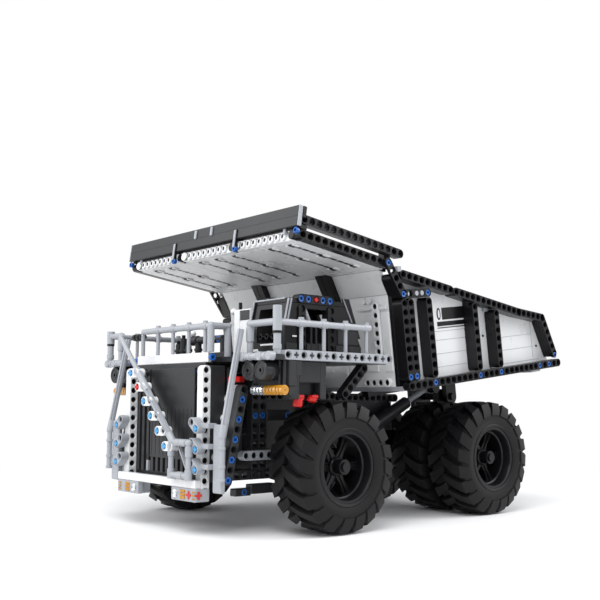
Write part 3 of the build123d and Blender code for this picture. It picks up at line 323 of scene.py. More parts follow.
class Piece:
    """Collects one visible piece's mesh, in millimetres, from bmesh operators."""

    def __init__(self) -> None:
        """Starts with an empty mesh."""
        self.bm = bmesh.new()

    def stamp(self, template: bpy.types.Mesh, matrix: Matrix) -> None:
        """Adds a copy of a template mesh.

        Args:
            template: The mesh to copy.
            matrix: Where the copy goes.
        """
        copy = template.copy()
        copy.transform(matrix)
        if matrix.determinant() < 0:
            copy.flip_normals()
        self.bm.from_mesh(copy)
        bpy.data.meshes.remove(copy)

    def soften(self, edges: Iterable[bmesh.types.BMEdge], width: float) -> None:
        """Chamfers edges, never past their neighbours.

        Args:
            edges: The edges to soften.
            width: Width of the chamfer.
        """
        chamfer = {"segments": 1, "profile": 0.5, "affect": "EDGES", "material": -1, "clamp_overlap": True}
        bmesh.ops.bevel(self.bm, geom=list(edges), offset=width, **chamfer)

    def box(self, xs: Pair, ys: Pair, zs: Pair, edge: float = EDGE, turn: Matrix | None = None) -> None:
        """Adds a box with softened edges.

        Args:
            xs: Where it starts and ends along x, in any order.
            ys: The same along y.
            zs: The same along z.
            edge: Width of the softening, 0 for none.
            turn: Placing matrix, where the spans are local.
        """
        middle = Vector([(a + b) / 2 for a, b in (xs, ys, zs)])
        size = Vector([abs(b - a) for a, b in (xs, ys, zs)])
        place = (turn or Matrix.Identity(4)) @ Matrix.Translation(middle) @ Matrix.Diagonal((*size, 1))
        made = bmesh.ops.create_cube(self.bm, size=1, matrix=place)
        if edge:
            self.soften({e for v in made["verts"] for e in v.link_edges}, min(edge, min(size) / 4))

    def rod(self, start: Point, end: Point, radius: float, sides: int = 16, edge: float = EDGE) -> None:
        """Adds a round rod between two points.

        Args:
            start: Centre of one end.
            end: Centre of the other end.
            radius: Its radius.
            sides: How many sides the round has.
            edge: Width of the softening round each end.
        """
        start, end = Vector(start), Vector(end)
        run = end - start
        place = Matrix.Translation((start + end) / 2) @ run.to_track_quat("Z", "X").to_matrix().to_4x4()
        made = bmesh.ops.create_cone(
            self.bm,
            cap_ends=True,
            segments=sides,
            radius1=radius,
            radius2=radius,
            depth=run.length,
            matrix=place,
        )
        if edge:
            caps = [f for f in {f for v in made["verts"] for f in v.link_faces} if len(f.verts) == sides]
            self.soften({e for f in caps for e in f.edges}, edge)

    def sleeve(self, middle: Point, axis: Vector, half: float, radius: float = 3.1, sides: int = 16) -> None:
        """Adds a short round sleeve about a point of a tube.

        Args:
            middle: Its centre.
            axis: Unit direction of the tube.
            half: Half its length.
            radius: Its radius.
            sides: How many sides the round has.
        """
        middle = Vector(middle)
        self.rod(middle - axis * half, middle + axis * half, radius, sides)

    def lathe(
        self, profile: Outline, centre: Point, axis: Vector, steps: int = 64, inward: bool = False
    ) -> None:
        """Adds a full turn of a profile.

        Args:
            profile: Pairs of distance along the axis and radius.
            centre: Point on the axis where the distance is zero.
            axis: Unit direction of the axis.
            steps: How many steps the turn has.
            inward: Whether its faces point inwards, which lights up a lens from within.
        """
        centre, side = Vector(centre), axis.orthogonal().normalized()
        before = set(self.bm.faces)
        made = [self.bm.verts.new(centre + axis * along + side * radius) for along, radius in profile]
        edges = [self.bm.edges.new(pair) for pair in zip(made, made[1:])]
        bmesh.ops.spin(
            self.bm, geom=made + edges, cent=centre, axis=axis, angle=2 * math.pi, steps=steps, use_merge=True
        )
        bmesh.ops.remove_doubles(self.bm, verts=self.bm.verts[:], dist=0.0005)
        turned = [face for face in self.bm.faces if face not in before]
        bmesh.ops.recalc_face_normals(self.bm, faces=turned)
        if inward:
            bmesh.ops.reverse_faces(self.bm, faces=turned)

    def plate(self, outline: Outline, place: Matrix, thickness: float, edge: float = EDGE) -> None:
        """Adds a flat plate with any outline, centred on its plane.

        Args:
            outline: Local corners in order.
            place: Placing matrix of the plane.
            thickness: Full thickness.
            edge: Width of the softening.
        """
        made = [self.bm.verts.new(place @ Vector((x, y, -thickness / 2))) for x, y in outline]
        face = self.bm.faces.new(made)
        bmesh.ops.recalc_face_normals(self.bm, faces=[face])
        grown = bmesh.ops.extrude_face_region(self.bm, geom=[face], use_keep_orig=True)
        moved = [v for v in grown["geom"] if isinstance(v, bmesh.types.BMVert)]
        bmesh.ops.translate(self.bm, verts=moved, vec=(place.to_3x3() @ Z) * thickness)
        verts = set(made) | set(moved)
        faces = [f for f in self.bm.faces if all(v in verts for v in f.verts)]
        bmesh.ops.recalc_face_normals(self.bm, faces=faces)
        if edge:
            self.soften({e for f in faces for e in f.edges if e.calc_face_angle(0) > 0.5}, edge)

    def beam(
        self,
        first: Point,
        along: Vector,
        across: Vector,
        count: int,
        thickness: float = BEAM,
        crosses: Iterable[int] = (),
    ) -> None:
        """Adds a pin-hole beam.

        Args:
            first: Centre of the first hole.
            along: Unit direction from hole to hole.
            across: Unit direction over the beam's width, square to the holes.
            count: How many holes.
            thickness: Full thickness along the holes.
            crosses: Which of its holes are crosses, counted from 0.
        """
        for step in range(count):
            place = basis(Vector(first) + along * MODULE * step, along, across)
            last = step == count - 1
            kind = Cell.SOLO if count == 1 else Cell.END if step == 0 or last else Cell.MIDDLE
            self.stamp(CELLS.template(kind, thickness, step in crosses), place @ TURN_BACK if last else place)

    def pin(self, head: Point, axis: Vector, radius: float = 2.9) -> None:
        """Adds the visible head of a push pin, hollow in its middle.

        Args:
            head: Centre of the hole's mouth.
            axis: Unit direction out of the hole.
            radius: The head's radius.
        """
        hollow = [(-4.0, 0.05), (-2.4, 1.5), (-0.5, 1.5)]
        collar = [(-0.35, radius - 0.5), (-0.6, radius), (-1.2, radius), (-4.0, radius * 0.8)]
        self.lathe(hollow + collar, head, axis, 12)

    def shade_plugs(
        self, first: Point, along: Vector, axis: Vector, holes: Iterable[int], half: float = HALF
    ) -> None:
        """Adds pins set deep in a row of holes: partly real black pins, partly painted shade that darkens the
        holes.

        Args:
            first: Centre of the row's first hole.
            along: Unit direction from hole to hole.
            axis: Unit direction out of the holes.
            holes: Which holes get one, counted from 0.
            half: Half the beam's thickness.
        """
        for step in holes:
            self.pin(Vector(first) + along * MODULE * step + axis * (half - 0.9), axis, 2.4)

    def axle(self, start: Point, end: Point, half: float = 2.3, arm: float = 0.9) -> None:
        """Adds a cross-shaped axle between two points.

        Args:
            start: Centre of one end.
            end: Centre of the other end.
            half: Half its full width.
            arm: Half the width of one arm of the cross.
        """
        start, end = Vector(start), Vector(end)
        run = end - start
        turn = run.to_track_quat("Z", "Y").to_matrix().to_4x4()
        self.plate(cross_outline(half, arm), Matrix.Translation((start + end) / 2) @ turn, run.length, 0)

    def cross_pin(self, head: Point, axis: Vector, half: float = 2.3) -> None:
        """Adds the end of a cross axle standing just out of its hole.

        Args:
            head: Centre of the hole's mouth.
            axis: Unit direction out of the hole.
            half: Half the cross's width.
        """
        head = Vector(head)
        self.axle(head - axis * 3.0, head + axis * 0.4, half)

    def ball(self, centre: Point, radius: float = 3.1, sides: int = 14) -> None:
        """Adds a ball.

        Args:
            centre: Its centre.
            radius: Its radius.
            sides: How many sides its girth has.
        """
        place = Matrix.Translation(Vector(centre))
        bmesh.ops.create_uvsphere(
            self.bm, u_segments=sides, v_segments=sides // 2, radius=radius, matrix=place
        )

    def lamp_row(
        self, start: Point, axis: Vector, count: int, radius: float = HALF, pitch: float = MODULE
    ) -> None:
        """Adds a row of ribbed round lamp bodies.

        Args:
            start: Where the row starts.
            axis: Unit direction of the row.
            count: How many bodies.
            radius: Their radius.
            pitch: Length of each.
        """
        waist = radius - 0.9
        ring = [(0.1, 0.5), (0.1, radius - 1.4), (0.8, waist), (1.2, radius), (3.4, radius), (3.8, waist)]
        ring += [(4.4, waist), (4.8, radius), (pitch - 0.4, radius)]
        ring += [(pitch - 0.1, radius - 0.4), (pitch - 0.1, 0.5)]
        for step in range(count):
            self.lathe(ring, Vector(start) + axis * pitch * step, axis, 20, inward=True)

    def finish(
        self, name: str, body: str, look: Finish, replaced: Iterable[str] = (), angle: float = 35
    ) -> bpy.types.Object:
        """Turns the collected mesh into a piece of the scene.

        Args:
            name: The piece's name.
            body: The body it rides on.
            look: Its finish.
            replaced: CAD nodes that it stands for.
            angle: Edges flatter than this are smoothed, in degrees.

        Returns:
            The new object.
        """
        bmesh.ops.scale(self.bm, vec=(MM, MM, MM), verts=self.bm.verts[:])
        for face in self.bm.faces:
            face.smooth = True
        for line in self.bm.edges:
            if len(line.link_faces) == 2 and line.calc_face_angle(0) > math.radians(angle):
                line.smooth = False
        mesh = bpy.data.meshes.new(name)
        self.bm.to_mesh(mesh)
        self.bm.free()
        mesh.materials.append(look.material())
        piece = bpy.data.objects.new(name, mesh)
        bpy.context.scene.collection.objects.link(piece)
        if replaced:
            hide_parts(*replaced)
        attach(piece, body)
        LOG.info("%s: %d faces", name, len(mesh.polygons))
        return piece


@dataclass
class Assembly:
    """A sub-assembly that keeps its pieces together until all of them are modelled."""

    body: Body = Body.CHASSIS
    begun: list[tuple[Piece, str, Finish, tuple[str, ...]]] = field(default_factory=list)

    def piece(self, name: str, look: Finish, *replaced: str) -> Piece:
        """Starts a piece.

        Args:
            name: Its name.
            look: Its finish.
            replaced: CAD nodes that it stands for.

        Returns:
            The empty piece.
        """
        made = Piece()
        self.begun.append((made, name, look, replaced))
        return made

    def finish(self) -> None:
        """Turns every piece that was started into an object of the scene."""
        for made, name, look, replaced in self.begun:
            made.finish(name, self.body.value, look, replaced)


# Sizes shared by several assemblies, in millimetres
FRONT_AXLE_X = 92.0
REAR_AXLE_X = -108.0
AXLE_Z = 53.5
BED_SLOPE = math.radians(7.05)
BED_F = Vector((math.cos(BED_SLOPE), 0, -math.sin(BED_SLOPE)))
BED_U = Vector((math.sin(BED_SLOPE), 0, math.cos(BED_SLOPE)))
BED_HOLE = Vector((20.3, 0, 119.6))
CANOPY_SLOPE = math.radians(7.9)
CANOPY_F = Vector((math.cos(CANOPY_SLOPE), 0, math.sin(CANOPY_SLOPE)))
CANOPY_U = Vector((-math.sin(CANOPY_SLOPE), 0, math.cos(CANOPY_SLOPE)))
CANOPY_HOLE = Vector((143.6, 0, 237.6))
CANOPY_LAST_HOLE = -12 * MODULE


def bed_point(x: float, y: float, z: float) -> Vector:
    """Point of the sloping bed: x along its rail, y to the left, z up from its first hole."""
    return BED_HOLE + BED_F * x + BED_U * z + Y * y


def canopy_point(x: float, y: float, z: float) -> Vector:
    """Point of the sloping canopy: x along its beam, y to the left, z up from its first hole."""
    return CANOPY_HOLE + CANOPY_F * x + CANOPY_U * z + Y * y


@dataclass
class Tyre:
    """One lugged tyre: its carcass and its V of lugs."""

    radius: float = 53.5
    half_width: float = 22.0
    groove_r: float = 49.0
    bead_r: float = 28.8
    lugs: int = 20
    lug_lean: float = math.radians(17)

    def profile(self) -> Outline:
        """Closed section of the carcass.

        Returns:
            Pairs of distance along the axle and radius.
        """
        h = self.half_width
        side = [
            (h - 4.0, self.bead_r),
            (h - 2.4, self.bead_r + 0.4),
            (h - 1.6, self.bead_r + 2.2),
            (h - 2.2, self.bead_r + 3.0),
            (h - 1.2, self.bead_r + 6.5),
            (h - 1.0, self.groove_r - 11),
            (h - 1.6, self.groove_r - 6),
            (h - 3.4, self.groove_r - 1.6),
            (h - 8.0, self.groove_r),
        ]
        return [(-x, r) for x, r in side] + [(x, r) for x, r in reversed(side)] + [(-side[0][0], side[0][1])]

    def lug(self) -> bpy.types.Mesh:
        """Gives the template of one lug, modelled the first time it is asked for.

        Returns:
            The lug on the +y side, with its inner end at angle zero.
        """
        found = bpy.data.meshes.get("lug_template")
        if found:
            return found
        bm = bmesh.new()
        bmesh.ops.create_grid(bm, x_segments=7, y_segments=1, size=1.0)
        grown = bmesh.ops.extrude_face_region(bm, geom=bm.faces[:], use_keep_orig=True)
        for vert in grown["geom"]:
            if isinstance(vert, bmesh.types.BMVert):
                vert.co.z = 1.0
        for vert in bm.verts:
            vert.co = self.lug_point((vert.co.x + 1) / 2, vert.co.y, vert.co.z)
        bmesh.ops.recalc_face_normals(bm, faces=bm.faces[:])
        if bm.calc_volume(signed=True) < 0:
            bmesh.ops.reverse_faces(bm, faces=bm.faces[:])
        mesh = bpy.data.meshes.new("lug_template")
        bm.to_mesh(mesh)
        bm.free()
        return mesh

    def lug_point(self, along: float, across: float, lift: float) -> Vector:
        """Maps a spot of the flat lug onto the tyre.

        Args:
            along: 0 at the middle of the tread, 1 at the foot on the side wall.
            across: -1 to 1 over the lug's width.
            lift: 0 at its base, 1 at its top.

        Returns:
            The point, for an axle along y through the origin.
        """
        tread = 0.72
        h = self.half_width
        if along < tread:
            share = along / tread
            y = -1.0 + (h - 2.5) * share
            r = self.radius - 1.2 * share**3 if lift else self.groove_r - 2.5
        else:
            share = (along - tread) / (1 - tread)
            y = (h - 3.5 + 3.5 * math.sin(share * math.pi / 2)) if lift else h - 4.5
            r = (self.radius - 1.2) * (1 - share) + (self.groove_r - 8.5) * share
            r -= 0 if lift else 1.5
        wide = (3.6 + 2.4 * min(1.0, along * 1.3)) * (0.9 if lift else 1.08)
        angle = self.lug_lean * (along**0.85) + across * wide / r
        return Vector((r * math.sin(angle), y, r * math.cos(angle)))

    def build(self, centre: Vector, piece: Piece) -> None:
        """Adds the whole tyre to a piece.

        Args:
            centre: The wheel's centre.
            piece: The piece that gets it.
        """
        piece.lathe(self.profile(), centre, Y, 72)
        template = self.lug()
        pitch = 2 * math.pi / self.lugs
        for row, shift in ((1, 0), (-1, pitch / 2)):
            for step in range(self.lugs):
                place = Matrix.Translation(centre) @ Matrix.Rotation(pitch * step + shift, 4, "Y")
                piece.stamp(template, place @ Matrix.Diagonal((1, row, 1, 1)))


@dataclass
class Rim:
    """One deep six-spoked rim with its hub."""

    radius: float = 28.6
    half_width: float = 19.0
    hub_r: float = 8.0
    bore_r: float = 3.96
    spokes: int = 6

    def build(self, centre: Vector, outward: int, piece: Piece, sleeve: Pair) -> None:
        """Adds the whole rim to a piece.

        Args:
            centre: The wheel's centre.
            outward: 1 when its outside faces +y, -1 when it faces -y.
            piece: The piece that gets it.
            sleeve: Where the hub's sleeve starts and ends along y.
        """
        r, h, hub, bore = self.radius, self.half_width, self.hub_r, self.bore_r
        out = Y * outward
        inner = r - 4.4
        ring = [(-h, r - 2.6), (-h, r), (h - 1.5, r), (h - 1.2, r + 1.0), (h, r + 0.9), (h, r - 2.0)]
        ring += [(h - 1.2, r - 2.6), (h - 8.0, r - 3.2), (h - 9.0, inner), (-h + 3, inner), (-h, r - 2.6)]
        piece.lathe(ring, centre, out, 64)
        boss = [(-3.0, 5.0), (-3.0, hub), (6.0, hub), (7.0, hub - 1.0), (7.0, 4.6), (4.0, 4.4), (4.0, bore)]
        piece.lathe(boss + [(-3.0, bore), (-3.0, 5.0)], centre, out, 32)
        start, end = sleeve
        tube = [(start, bore), (start, 6.2), (end, 6.2), (end, bore), (start, bore)]
        piece.lathe(tube, (centre.x, 0, centre.z), Y, 24)
        root, tip = hub - 1.5, r - 3.6
        spoke = [(-4.4, root), (4.4, root), (2.9, 15.0), (4.6, tip), (-4.6, tip), (-2.9, 15.0)]
        rib = [(-0.9, hub - 1), (0.9, hub - 1), (0.9, tip), (-0.9, tip)]
        for step in range(self.spokes):
            angle = 2 * math.pi * step / self.spokes + math.pi / 6
            turn = Matrix.Translation(centre) @ Matrix.Rotation(angle, 4, "Y")
            piece.plate(spoke, turn @ basis(out * 1.5, X, Z), 5.0, 0.5)
            piece.plate(rib, turn @ basis(out * 4.4, X, Z), 1.6, 0.2)


@dataclass
class Wheels:
    """The two front wheels and the two pairs of rear twins."""

    front_y: float = 106.5
    rear_ys: Pair = (99.4, 51.4)
    hub_half: float = 15.0
    tyre: Tyre = field(default_factory=Tyre)
    rim: Rim = field(default_factory=Rim)

    def fit(self, ending: str, body: Body, centres: list[Vector], side: int) -> None:
        """Builds the tyres and rims of one moving body.

        Args:
            ending: Ending of the CAD nodes that they stand for.
            body: The body.
            centres: Centre of each wheel.
            side: 1 for left, -1 for right.
        """
        rubber, plastic = Piece(), Piece()
        for centre in centres:
            self.tyre.build(centre, rubber)
            self.rim.build(centre, side, plastic, about(centre.y, self.hub_half))
        many = "s" if len(centres) > 1 else ""
        rubber.finish(f"lugged_tyre{many}_{ending}", body.value, RUBBER, [f"tyre{many}_{ending}"], 28)
        plastic.finish(f"spoked_rim{many}_{ending}", body.value, RIM_BLACK, [f"rim{many}_{ending}"])

    def build(self) -> None:
        """Builds every tyre and rim in place of the plain ones."""
        for name, side in zip(("left", "right"), SIDES):
            front = [Vector((FRONT_AXLE_X, side * self.front_y, AXLE_Z))]
            rear = [Vector((REAR_AXLE_X, side * y, AXLE_Z)) for y in self.rear_ys]
            self.fit(f"front_{name}", Body(f"wheel_front_{name}"), front, side)
            self.fit(f"rear_{name}", Body(f"wheels_rear_{name}"), rear, side)


@dataclass
class Front(Assembly):
    """The truck's front: radiator, posts, board, bumper, lamps, stair and its handrail."""

    post_x: float = 186.1
    post_y: float = 56.1
    post_top: float = 131.1
    post_holes: int = 13
    panel_face: float = 181.8
    slats: int = 13
    slat_pitch: float = 7.704
    slots: tuple[tuple[float, float, float], ...] = (
        (-23.8, 125.6, 4.5), (-1.2, 125.2, 4.5), (-0.7, 112.2, 2.5), (-30.1, 50.5, 4.5), (46.6, 128, 4.5),
    )
    lamp_z: float = 32.2
    lamp_ys: Pair = (32.0, 43.0)
    stair_top: Pair = (-32.4, 130.0)
    step_run: Pair = (11.1, -12.1)
    steps: int = 6
    rail_x: float = 199.2
    loop_ys: Pair = (30.5, 55.4)
    loop_zs: Pair = (47.2, 73.0)

    def radiator(self) -> None:
        """Adds the ribbed radiator and the blank board over it."""
        dark = self.piece("radiator_panel", DARK, "radiator")
        dark.box((176.2, 182.0), (-52, 52), (42, 137.5))
        for step in range(self.slats):
            middle = (step - self.slats // 2) * self.slat_pitch
            dark.box((self.panel_face, 184.4), about(middle, 1.93), (46, 133.6))
            dark.box((self.panel_face, 182.7), about(middle + 3.85, 0.65), (46.5, 133.0), 0.15)
        for low in (58.0, 78.0, 98.0):
            dark.box((self.panel_face, 184.6), (-8, 40), (low, low + 0.8), 0.15)
        dark.box((183.0, 184.9), (-26, 41), (58, 133.4), 0.3)
        for y in range(-23, 38, 6):
            dark.box((184.6, 185.15), about(y, 0.3), (60, 100), 0.1)
        light = self.piece("radiator_slots", GREY)
        for y, z, half in self.slots:
            light.box((182.0, 184.8), about(y, 1.3), about(z, half), 0.3)
        black = self.piece("radiator_pins", BLACK)
        for y, z in ((0.1, 117.3), (-30.1, 58.0), (39.4, 117.3), (-8.0, 117.3)):
            black.pin((185.0, y, z), X, 2.8)
        board = self.piece("blank_front_board", WHITE, "front_board")
        board.box((178, 182), (-55, 55), (137.7, 145.6), 0.5)

    def posts(self) -> None:
        """Adds the two pin-hole posts, their webs and their pins; the black pins in every hole are partly
        painted shade.
        """
        white = self.piece("front_post_beams", WHITE, "front_posts")
        webs = self.piece("front_post_webs", DARK)
        shade_plugs = self.piece("front_post_hole_shade_pins", BLACK)
        blue = self.piece("front_post_pins", BLUE)
        for side in SIDES:
            top = Vector((self.post_x, side * self.post_y, self.post_top))
            white.beam(top, -Z, X, self.post_holes)
            # Black pins deep in every hole from both sides: partly real pins, partly painted shade in the
            # holes.
            for out in (Y * side, -Y * side):
                shade_plugs.shade_plugs(top, -Z, out, range(self.post_holes))
            webs.box((168, 182.3), about(side * self.post_y, HALF), (42, 134.8), 0.4)
            blue.pin((185.3, side * 46.6, 130.6), X)
            blue.pin((180.0, side * 60.1, 141.6), Y * side)
        blue.cross_pin((190.1, -54.4, 131.0), X, 2.6)

    def bumper(self) -> None:
        """Adds the bumper beam, the lamp blocks and their lamps."""
        white = self.piece("bumper_body", WHITE, "bumper_beam")
        white.box((190.1, 196), (-60, 60), (37.6, 44), 0.5)
        grey = self.piece("lamp_block_bodies", GREY, "lamp_blocks")
        black = self.piece("lamp_block_holes", BLACK)
        amber = self.piece("front_amber_lamps", AMBER, "lamps_amber")
        clear = self.piece("front_clear_lamps", CLEAR, "lamps_clear")
        red = self.piece("front_red_pins", RED)
        z = self.lamp_z
        lens = [(0, 0.3), (0, 3.3), (1.3, 3.3), (1.7, 2.4), (1.0, 1.6), (1.0, 0.3)]
        for side in SIDES:
            grey.box((190.1, 195.8), (side * 26.0, side * 60.4), (27, 37.5), 0.6)
            grey.box((181.9, 190.2), (side * 28.0, side * 60.4), (27, 37.4), 0.6)
            for y in self.lamp_ys:
                black.pin((195.7, side * y, z), X, 3.9)
            black.pin((185.6, side * 60.5, z), Y * side, 3.2)
            for bar in (z - 2.6, z, z + 2.6):
                amber.sleeve((195.4, side * self.lamp_ys[1], bar), Y, 3.4, 1.25, 12)
                amber.sleeve((196.2, side * 57 + 1.4, bar), Y, 1.8, 0.6, 8)
            clear.lathe(lens, (195.6, side * self.lamp_ys[0], z), X, 20, inward=True)
            start = Vector((161.0, side * 88.0, 115.0))
            clear.lamp_row(start, Y * side, 2)
            amber.lamp_row(start + Y * side * 2 * MODULE, Y * side, 3)
        red.cross_pin((196.0, 51.6, z), X, 3.2)
        red.cross_pin((192.6, 60.7, z), Y, 3.0)
        for y in (-20.0, 0.0, 20.0):
            black.pin((193.0, y, 37.2), -Z, 2.4)

    def stair(self) -> None:
        """Adds the two-hole steps on their slanted beam."""
        dark = self.piece("stair_back_beam", DARK, "front_stair")
        white = self.piece("stair_steps", WHITE)
        blue = self.piece("stair_pins", AZURE)
        red = self.piece("stair_red_pin", RED)
        top = Vector((198.0, *self.stair_top))
        pace = Vector((0, *self.step_run))
        run = pace.normalized()
        dark.beam(top - X * 6, run, X.cross(run), 11, HALF)
        for step in range(self.steps):
            spot = top + pace * step
            white.beam(spot, Y, Z, 2, 7.6)
            cross = red if step == 1 else blue
            cross.cross_pin(spot + X * HALF, X, 2.6)
            # A dark pin deep in each step's second hole: partly a real pin, partly painted shade in the hole.
            dark.shade_plugs(spot, Y, X, (1,), 3.8)
            if step in (0, self.steps - 1):
                dark.rod(spot - X * 14, spot - X * 7.8, 2.4)

    def handrail(self) -> None:
        """Adds the slanted handrail and the square loop round its landing."""
        grey = self.piece("stair_handrail", GREY, "front_handrail")
        x = self.rail_x
        near, far = self.loop_ys
        low, high = self.loop_zs
        top, knee = Vector((x, -56, 163)), Vector((x, 33, high))
        run = (knee - top).normalized()
        sleeve = top + run * 42
        grey.rod(top, sleeve, 2.2, 14)
        grey.rod(sleeve, sleeve + run * 26, 3.1)
        grey.axle(sleeve + run * 26, knee, 2.6, 1.1)
        grey.rod(knee - run * 9, knee, 3.1)
        grey.ball(knee)
        for y in self.loop_ys:
            grey.rod((x, y, 44.2), (x, y, high), 2.4)
            grey.rod((x, y, 62), (x, y, 70), 3.1)
            grey.rod((x, y, 44), (x, y, 52), 3.1)
        for z in self.loop_zs:
            grey.rod((x, near, z), (x, far, z), 2.5)
            for y in self.loop_ys:
                grey.ball((x, y, z))
        for y, z in ((41.0, high), (49.0, high), (44.5, low)):
            grey.sleeve((x, y, z), Y, HALF)
        grey.axle((x - 3, 38, 70), (x - 3, 51, 50), 1.6, 0.7)
        grey.rod((x - 3.2, -56, 163), (x, -56, 163), 3.1)

    def build(self) -> None:
        """Builds every piece of the front."""
        self.radiator()
        self.posts()
        self.bumper()
        self.stair()
        self.handrail()
        self.finish()


@dataclass
class Ladders(Assembly):
    """The two side ladders with their rod handrails, feet and step brackets."""

    top: Pair = (166.2, 115.4)
    low: Pair = (180.7, 45.4)
    holes: int = 10
    outer_y: float = 80.0
    inner_y: float = 72.1
    rod_y: float = 87.1
    rod_x: float = 190.0
    rungs: tuple[Pair, ...] = ((165.4, 107.2), (169.1, 92.1), (173.0, 76.6), (177.1, 61.5))
    brackets: tuple[float, ...] = (84.3, 68.1, 52.2)

    def stringers(self) -> None:
        """Adds the two slanted pin-hole beams of each ladder, and the outer one's pins."""
        grey = self.piece("ladder_inner_stringers", GREY, "side_ladders")
        dark = self.piece("ladder_outer_stringers", DARK)
        blue = self.piece("ladder_pins", BLUE)
        start, end = Vector((self.top[0], 0, self.top[1])), Vector((self.low[0], 0, self.low[1]))
        run = (end - start).normalized()
        for side in SIDES:
            dark.beam(start + Y * side * self.outer_y, run, Y.cross(run), self.holes)
            grey.beam(start + Y * side * self.inner_y, run, Y.cross(run), self.holes)
            for step in range(1, self.holes, 2):
                blue.pin(start + run * MODULE * step + Y * side * (self.outer_y + HALF), Y * side)

    def rungs_and_connectors(self) -> None:
        """Adds the round rungs and the red connector at the head of each ladder."""
        white = self.piece("ladder_rungs", WHITE)
        red = self.piece("ladder_red_connectors", RED)
        for side in SIDES:
            for x, z in self.rungs:
                white.rod((x, side * 53.0, z), (x, side * 70.2, z), 3.4, 16, 0.6)
            red.box((160.0, 166.0), (side * 60.2, side * 76.0), (121.5, 126.0), 0.5)

    def handrails(self, rods: Piece) -> None:
        """Adds each side's handrail: a cross axle, a sleeve and a thin rod below the knee.

        Args:
            rods: Piece of the rods and feet.
        """
        for side in SIDES:
            y = side * self.rod_y
            high, knee = Vector((173, y, 163)), Vector((self.rod_x, y, 79))
            rods.axle(high, knee, 2.5, 1.0)
            rods.rod(knee - (knee - high).normalized() * 9, knee, 3.0)
            rods.ball(knee, 3.0)
            rods.rod(knee, (self.rod_x, y, 45), 2.3, 14)
            for z in (70.0, 56.0, 46.0):
                rods.sleeve((self.rod_x, y, z), Z, 1.2, 3.0)

    def feet(self, rods: Piece) -> None:
        """Adds each side's upright foot plate and its slanted step brackets.

        Args:
            rods: Piece of the rods and feet.
        """
        azure = self.piece("ladder_bracket_pins", AZURE)
        black = self.piece("ladder_hole_shade_pins", BLACK)
        for side in SIDES:
            rods.box((184.6, 188.6), (side * 73.1, side * 85.1), (35, 88), 0.8)
            for z in self.brackets:
                rods.box((185.0, 193.6), (side * 60.5, side * 73.4), (z + 0.6, z + 4.6), 0.5)
                inner = Vector((194.0, side * 55.6, z + 5.2))
                run = (Vector((194.0, side * 62.2, z)) - inner).normalized()
                rods.beam(inner, run, X.cross(run), 2, 7.6)
                azure.cross_pin(inner + run * MODULE + X * 3.8, X, 2.4)
                # A black pin deep in each bracket's first hole: partly a real pin, partly painted shade in
                # the hole.
                black.shade_plugs(inner, run, X, (0,), 3.8)

    def build(self) -> None:
        """Builds both ladders."""
        self.stringers()
        self.rungs_and_connectors()
        rods = self.piece("ladder_rods_and_feet", GREY, "ladder_handrails")
        self.handrails(rods)
        self.feet(rods)
        self.finish()


@dataclass
class Columns(Assembly):
    """Columns behind the radiator, the beams between them and the upper frame beams behind them."""

    reach: float = 56.1
    column_xs: Pair = (128.1, 135.9)
    column_foot: float = 46.3
    tie_zs: tuple[float, ...] = (82.0, 104.0, 134.0)
    fore_beam: tuple[float, float, float] = (120.0, 30.0, 111.0)
    aft_beam: tuple[float, float, float] = (20.0, 24.0, 110.0)
    strut_foot: tuple[float, float, float] = (74.0, 100.0, 112.4)

    def columns(self, dark: Piece) -> None:
        """Adds the twin columns with their low beams, blocks, ties and pins; the black pins in the low beams'
        holes are partly painted shade.

        Args:
            dark: Piece of the dark beams.
        """
        grey = self.piece("front_side_beams", GREY)
        blue = self.piece("front_column_pins", BLUE)
        black = self.piece("front_side_hole_shade_pins", BLACK)
        for side in SIDES:
            reach = side * self.reach
            wide = about(reach, HALF)
            for x in self.column_xs:
                dark.beam((x, reach, self.column_foot), Z, X, 11)
                blue.pin((x, reach + side * HALF, 94.3), Y * side)
            dark.beam((114.0, reach, 45.8), X, Z, 8)
            blue.pin((101.0, reach + side * (HALF + 0.6), 94.4), Y * side)
            blue.pin((147.0, reach + side * (HALF + 0.6), 32.0), Y * side, 2.6)
            dark.box((99.0, 124.0), wide, (90.0, 99.0), 0.5)
            dark.box((115.0, 140.0), wide, (30.0, 38.0), 0.6)
            dark.box((140.0, 156.0), wide, (29.0, 35.0), 0.5)
            dark.box((150.0, 157.4), wide, (62.0, 110.0), 0.5)
            dark.box((157.8, 165.2), wide, (78.0, 134.0), 0.5)
            low = Vector((119.0, reach + side * MODULE, 62.0))
            grey.beam(low, X, Z, 5)
            # Black pins deep in every hole of the low grey beam: partly real pins, partly painted shade in
            # the holes.
            black.shade_plugs(low, X, Y * side, range(5))
        for z in self.tie_zs:
            dark.box(self.column_xs, (-52.1, 52.1), about(z, HALF), 0.5)

    def upper_frame(self, dark: Piece) -> None:
        """Adds the beams under the deck and the bed, their posts and the deck's slanted struts.

        Args:
            dark: Piece of the dark beams.
        """
        rise = Vector((-1, 0, 1)).normalized()
        for side in SIDES:
            x, y, z = self.fore_beam
            dark.beam((x, side * y, z), -X, Z, 13)
            dark.box((40.0, 118.0), about(side * y, 3.8), (114.6, 137.8), 0.5)
            dark.box((46.0, 54.0), about(side * y, 3.8), (78.1, 107.4), 0.5)
            x, y, z = self.aft_beam
            dark.beam((x, side * y, z), -X, Z, 12)
            for post in (12.0, -60.0):
                dark.box(about(post, 4), (side * 16.2, side * 23.8), (78.1, 107.0), 0.5)
            x, y, z = self.strut_foot
            dark.beam((x, side * y, z), rise, Y.cross(rise), 5)

    def build(self) -> None:
        """Builds the columns and the upper frame beams."""
        dark = self.piece("front_column_beams", DARK, "front_columns")
        self.columns(dark)
        self.upper_frame(dark)
        self.finish()


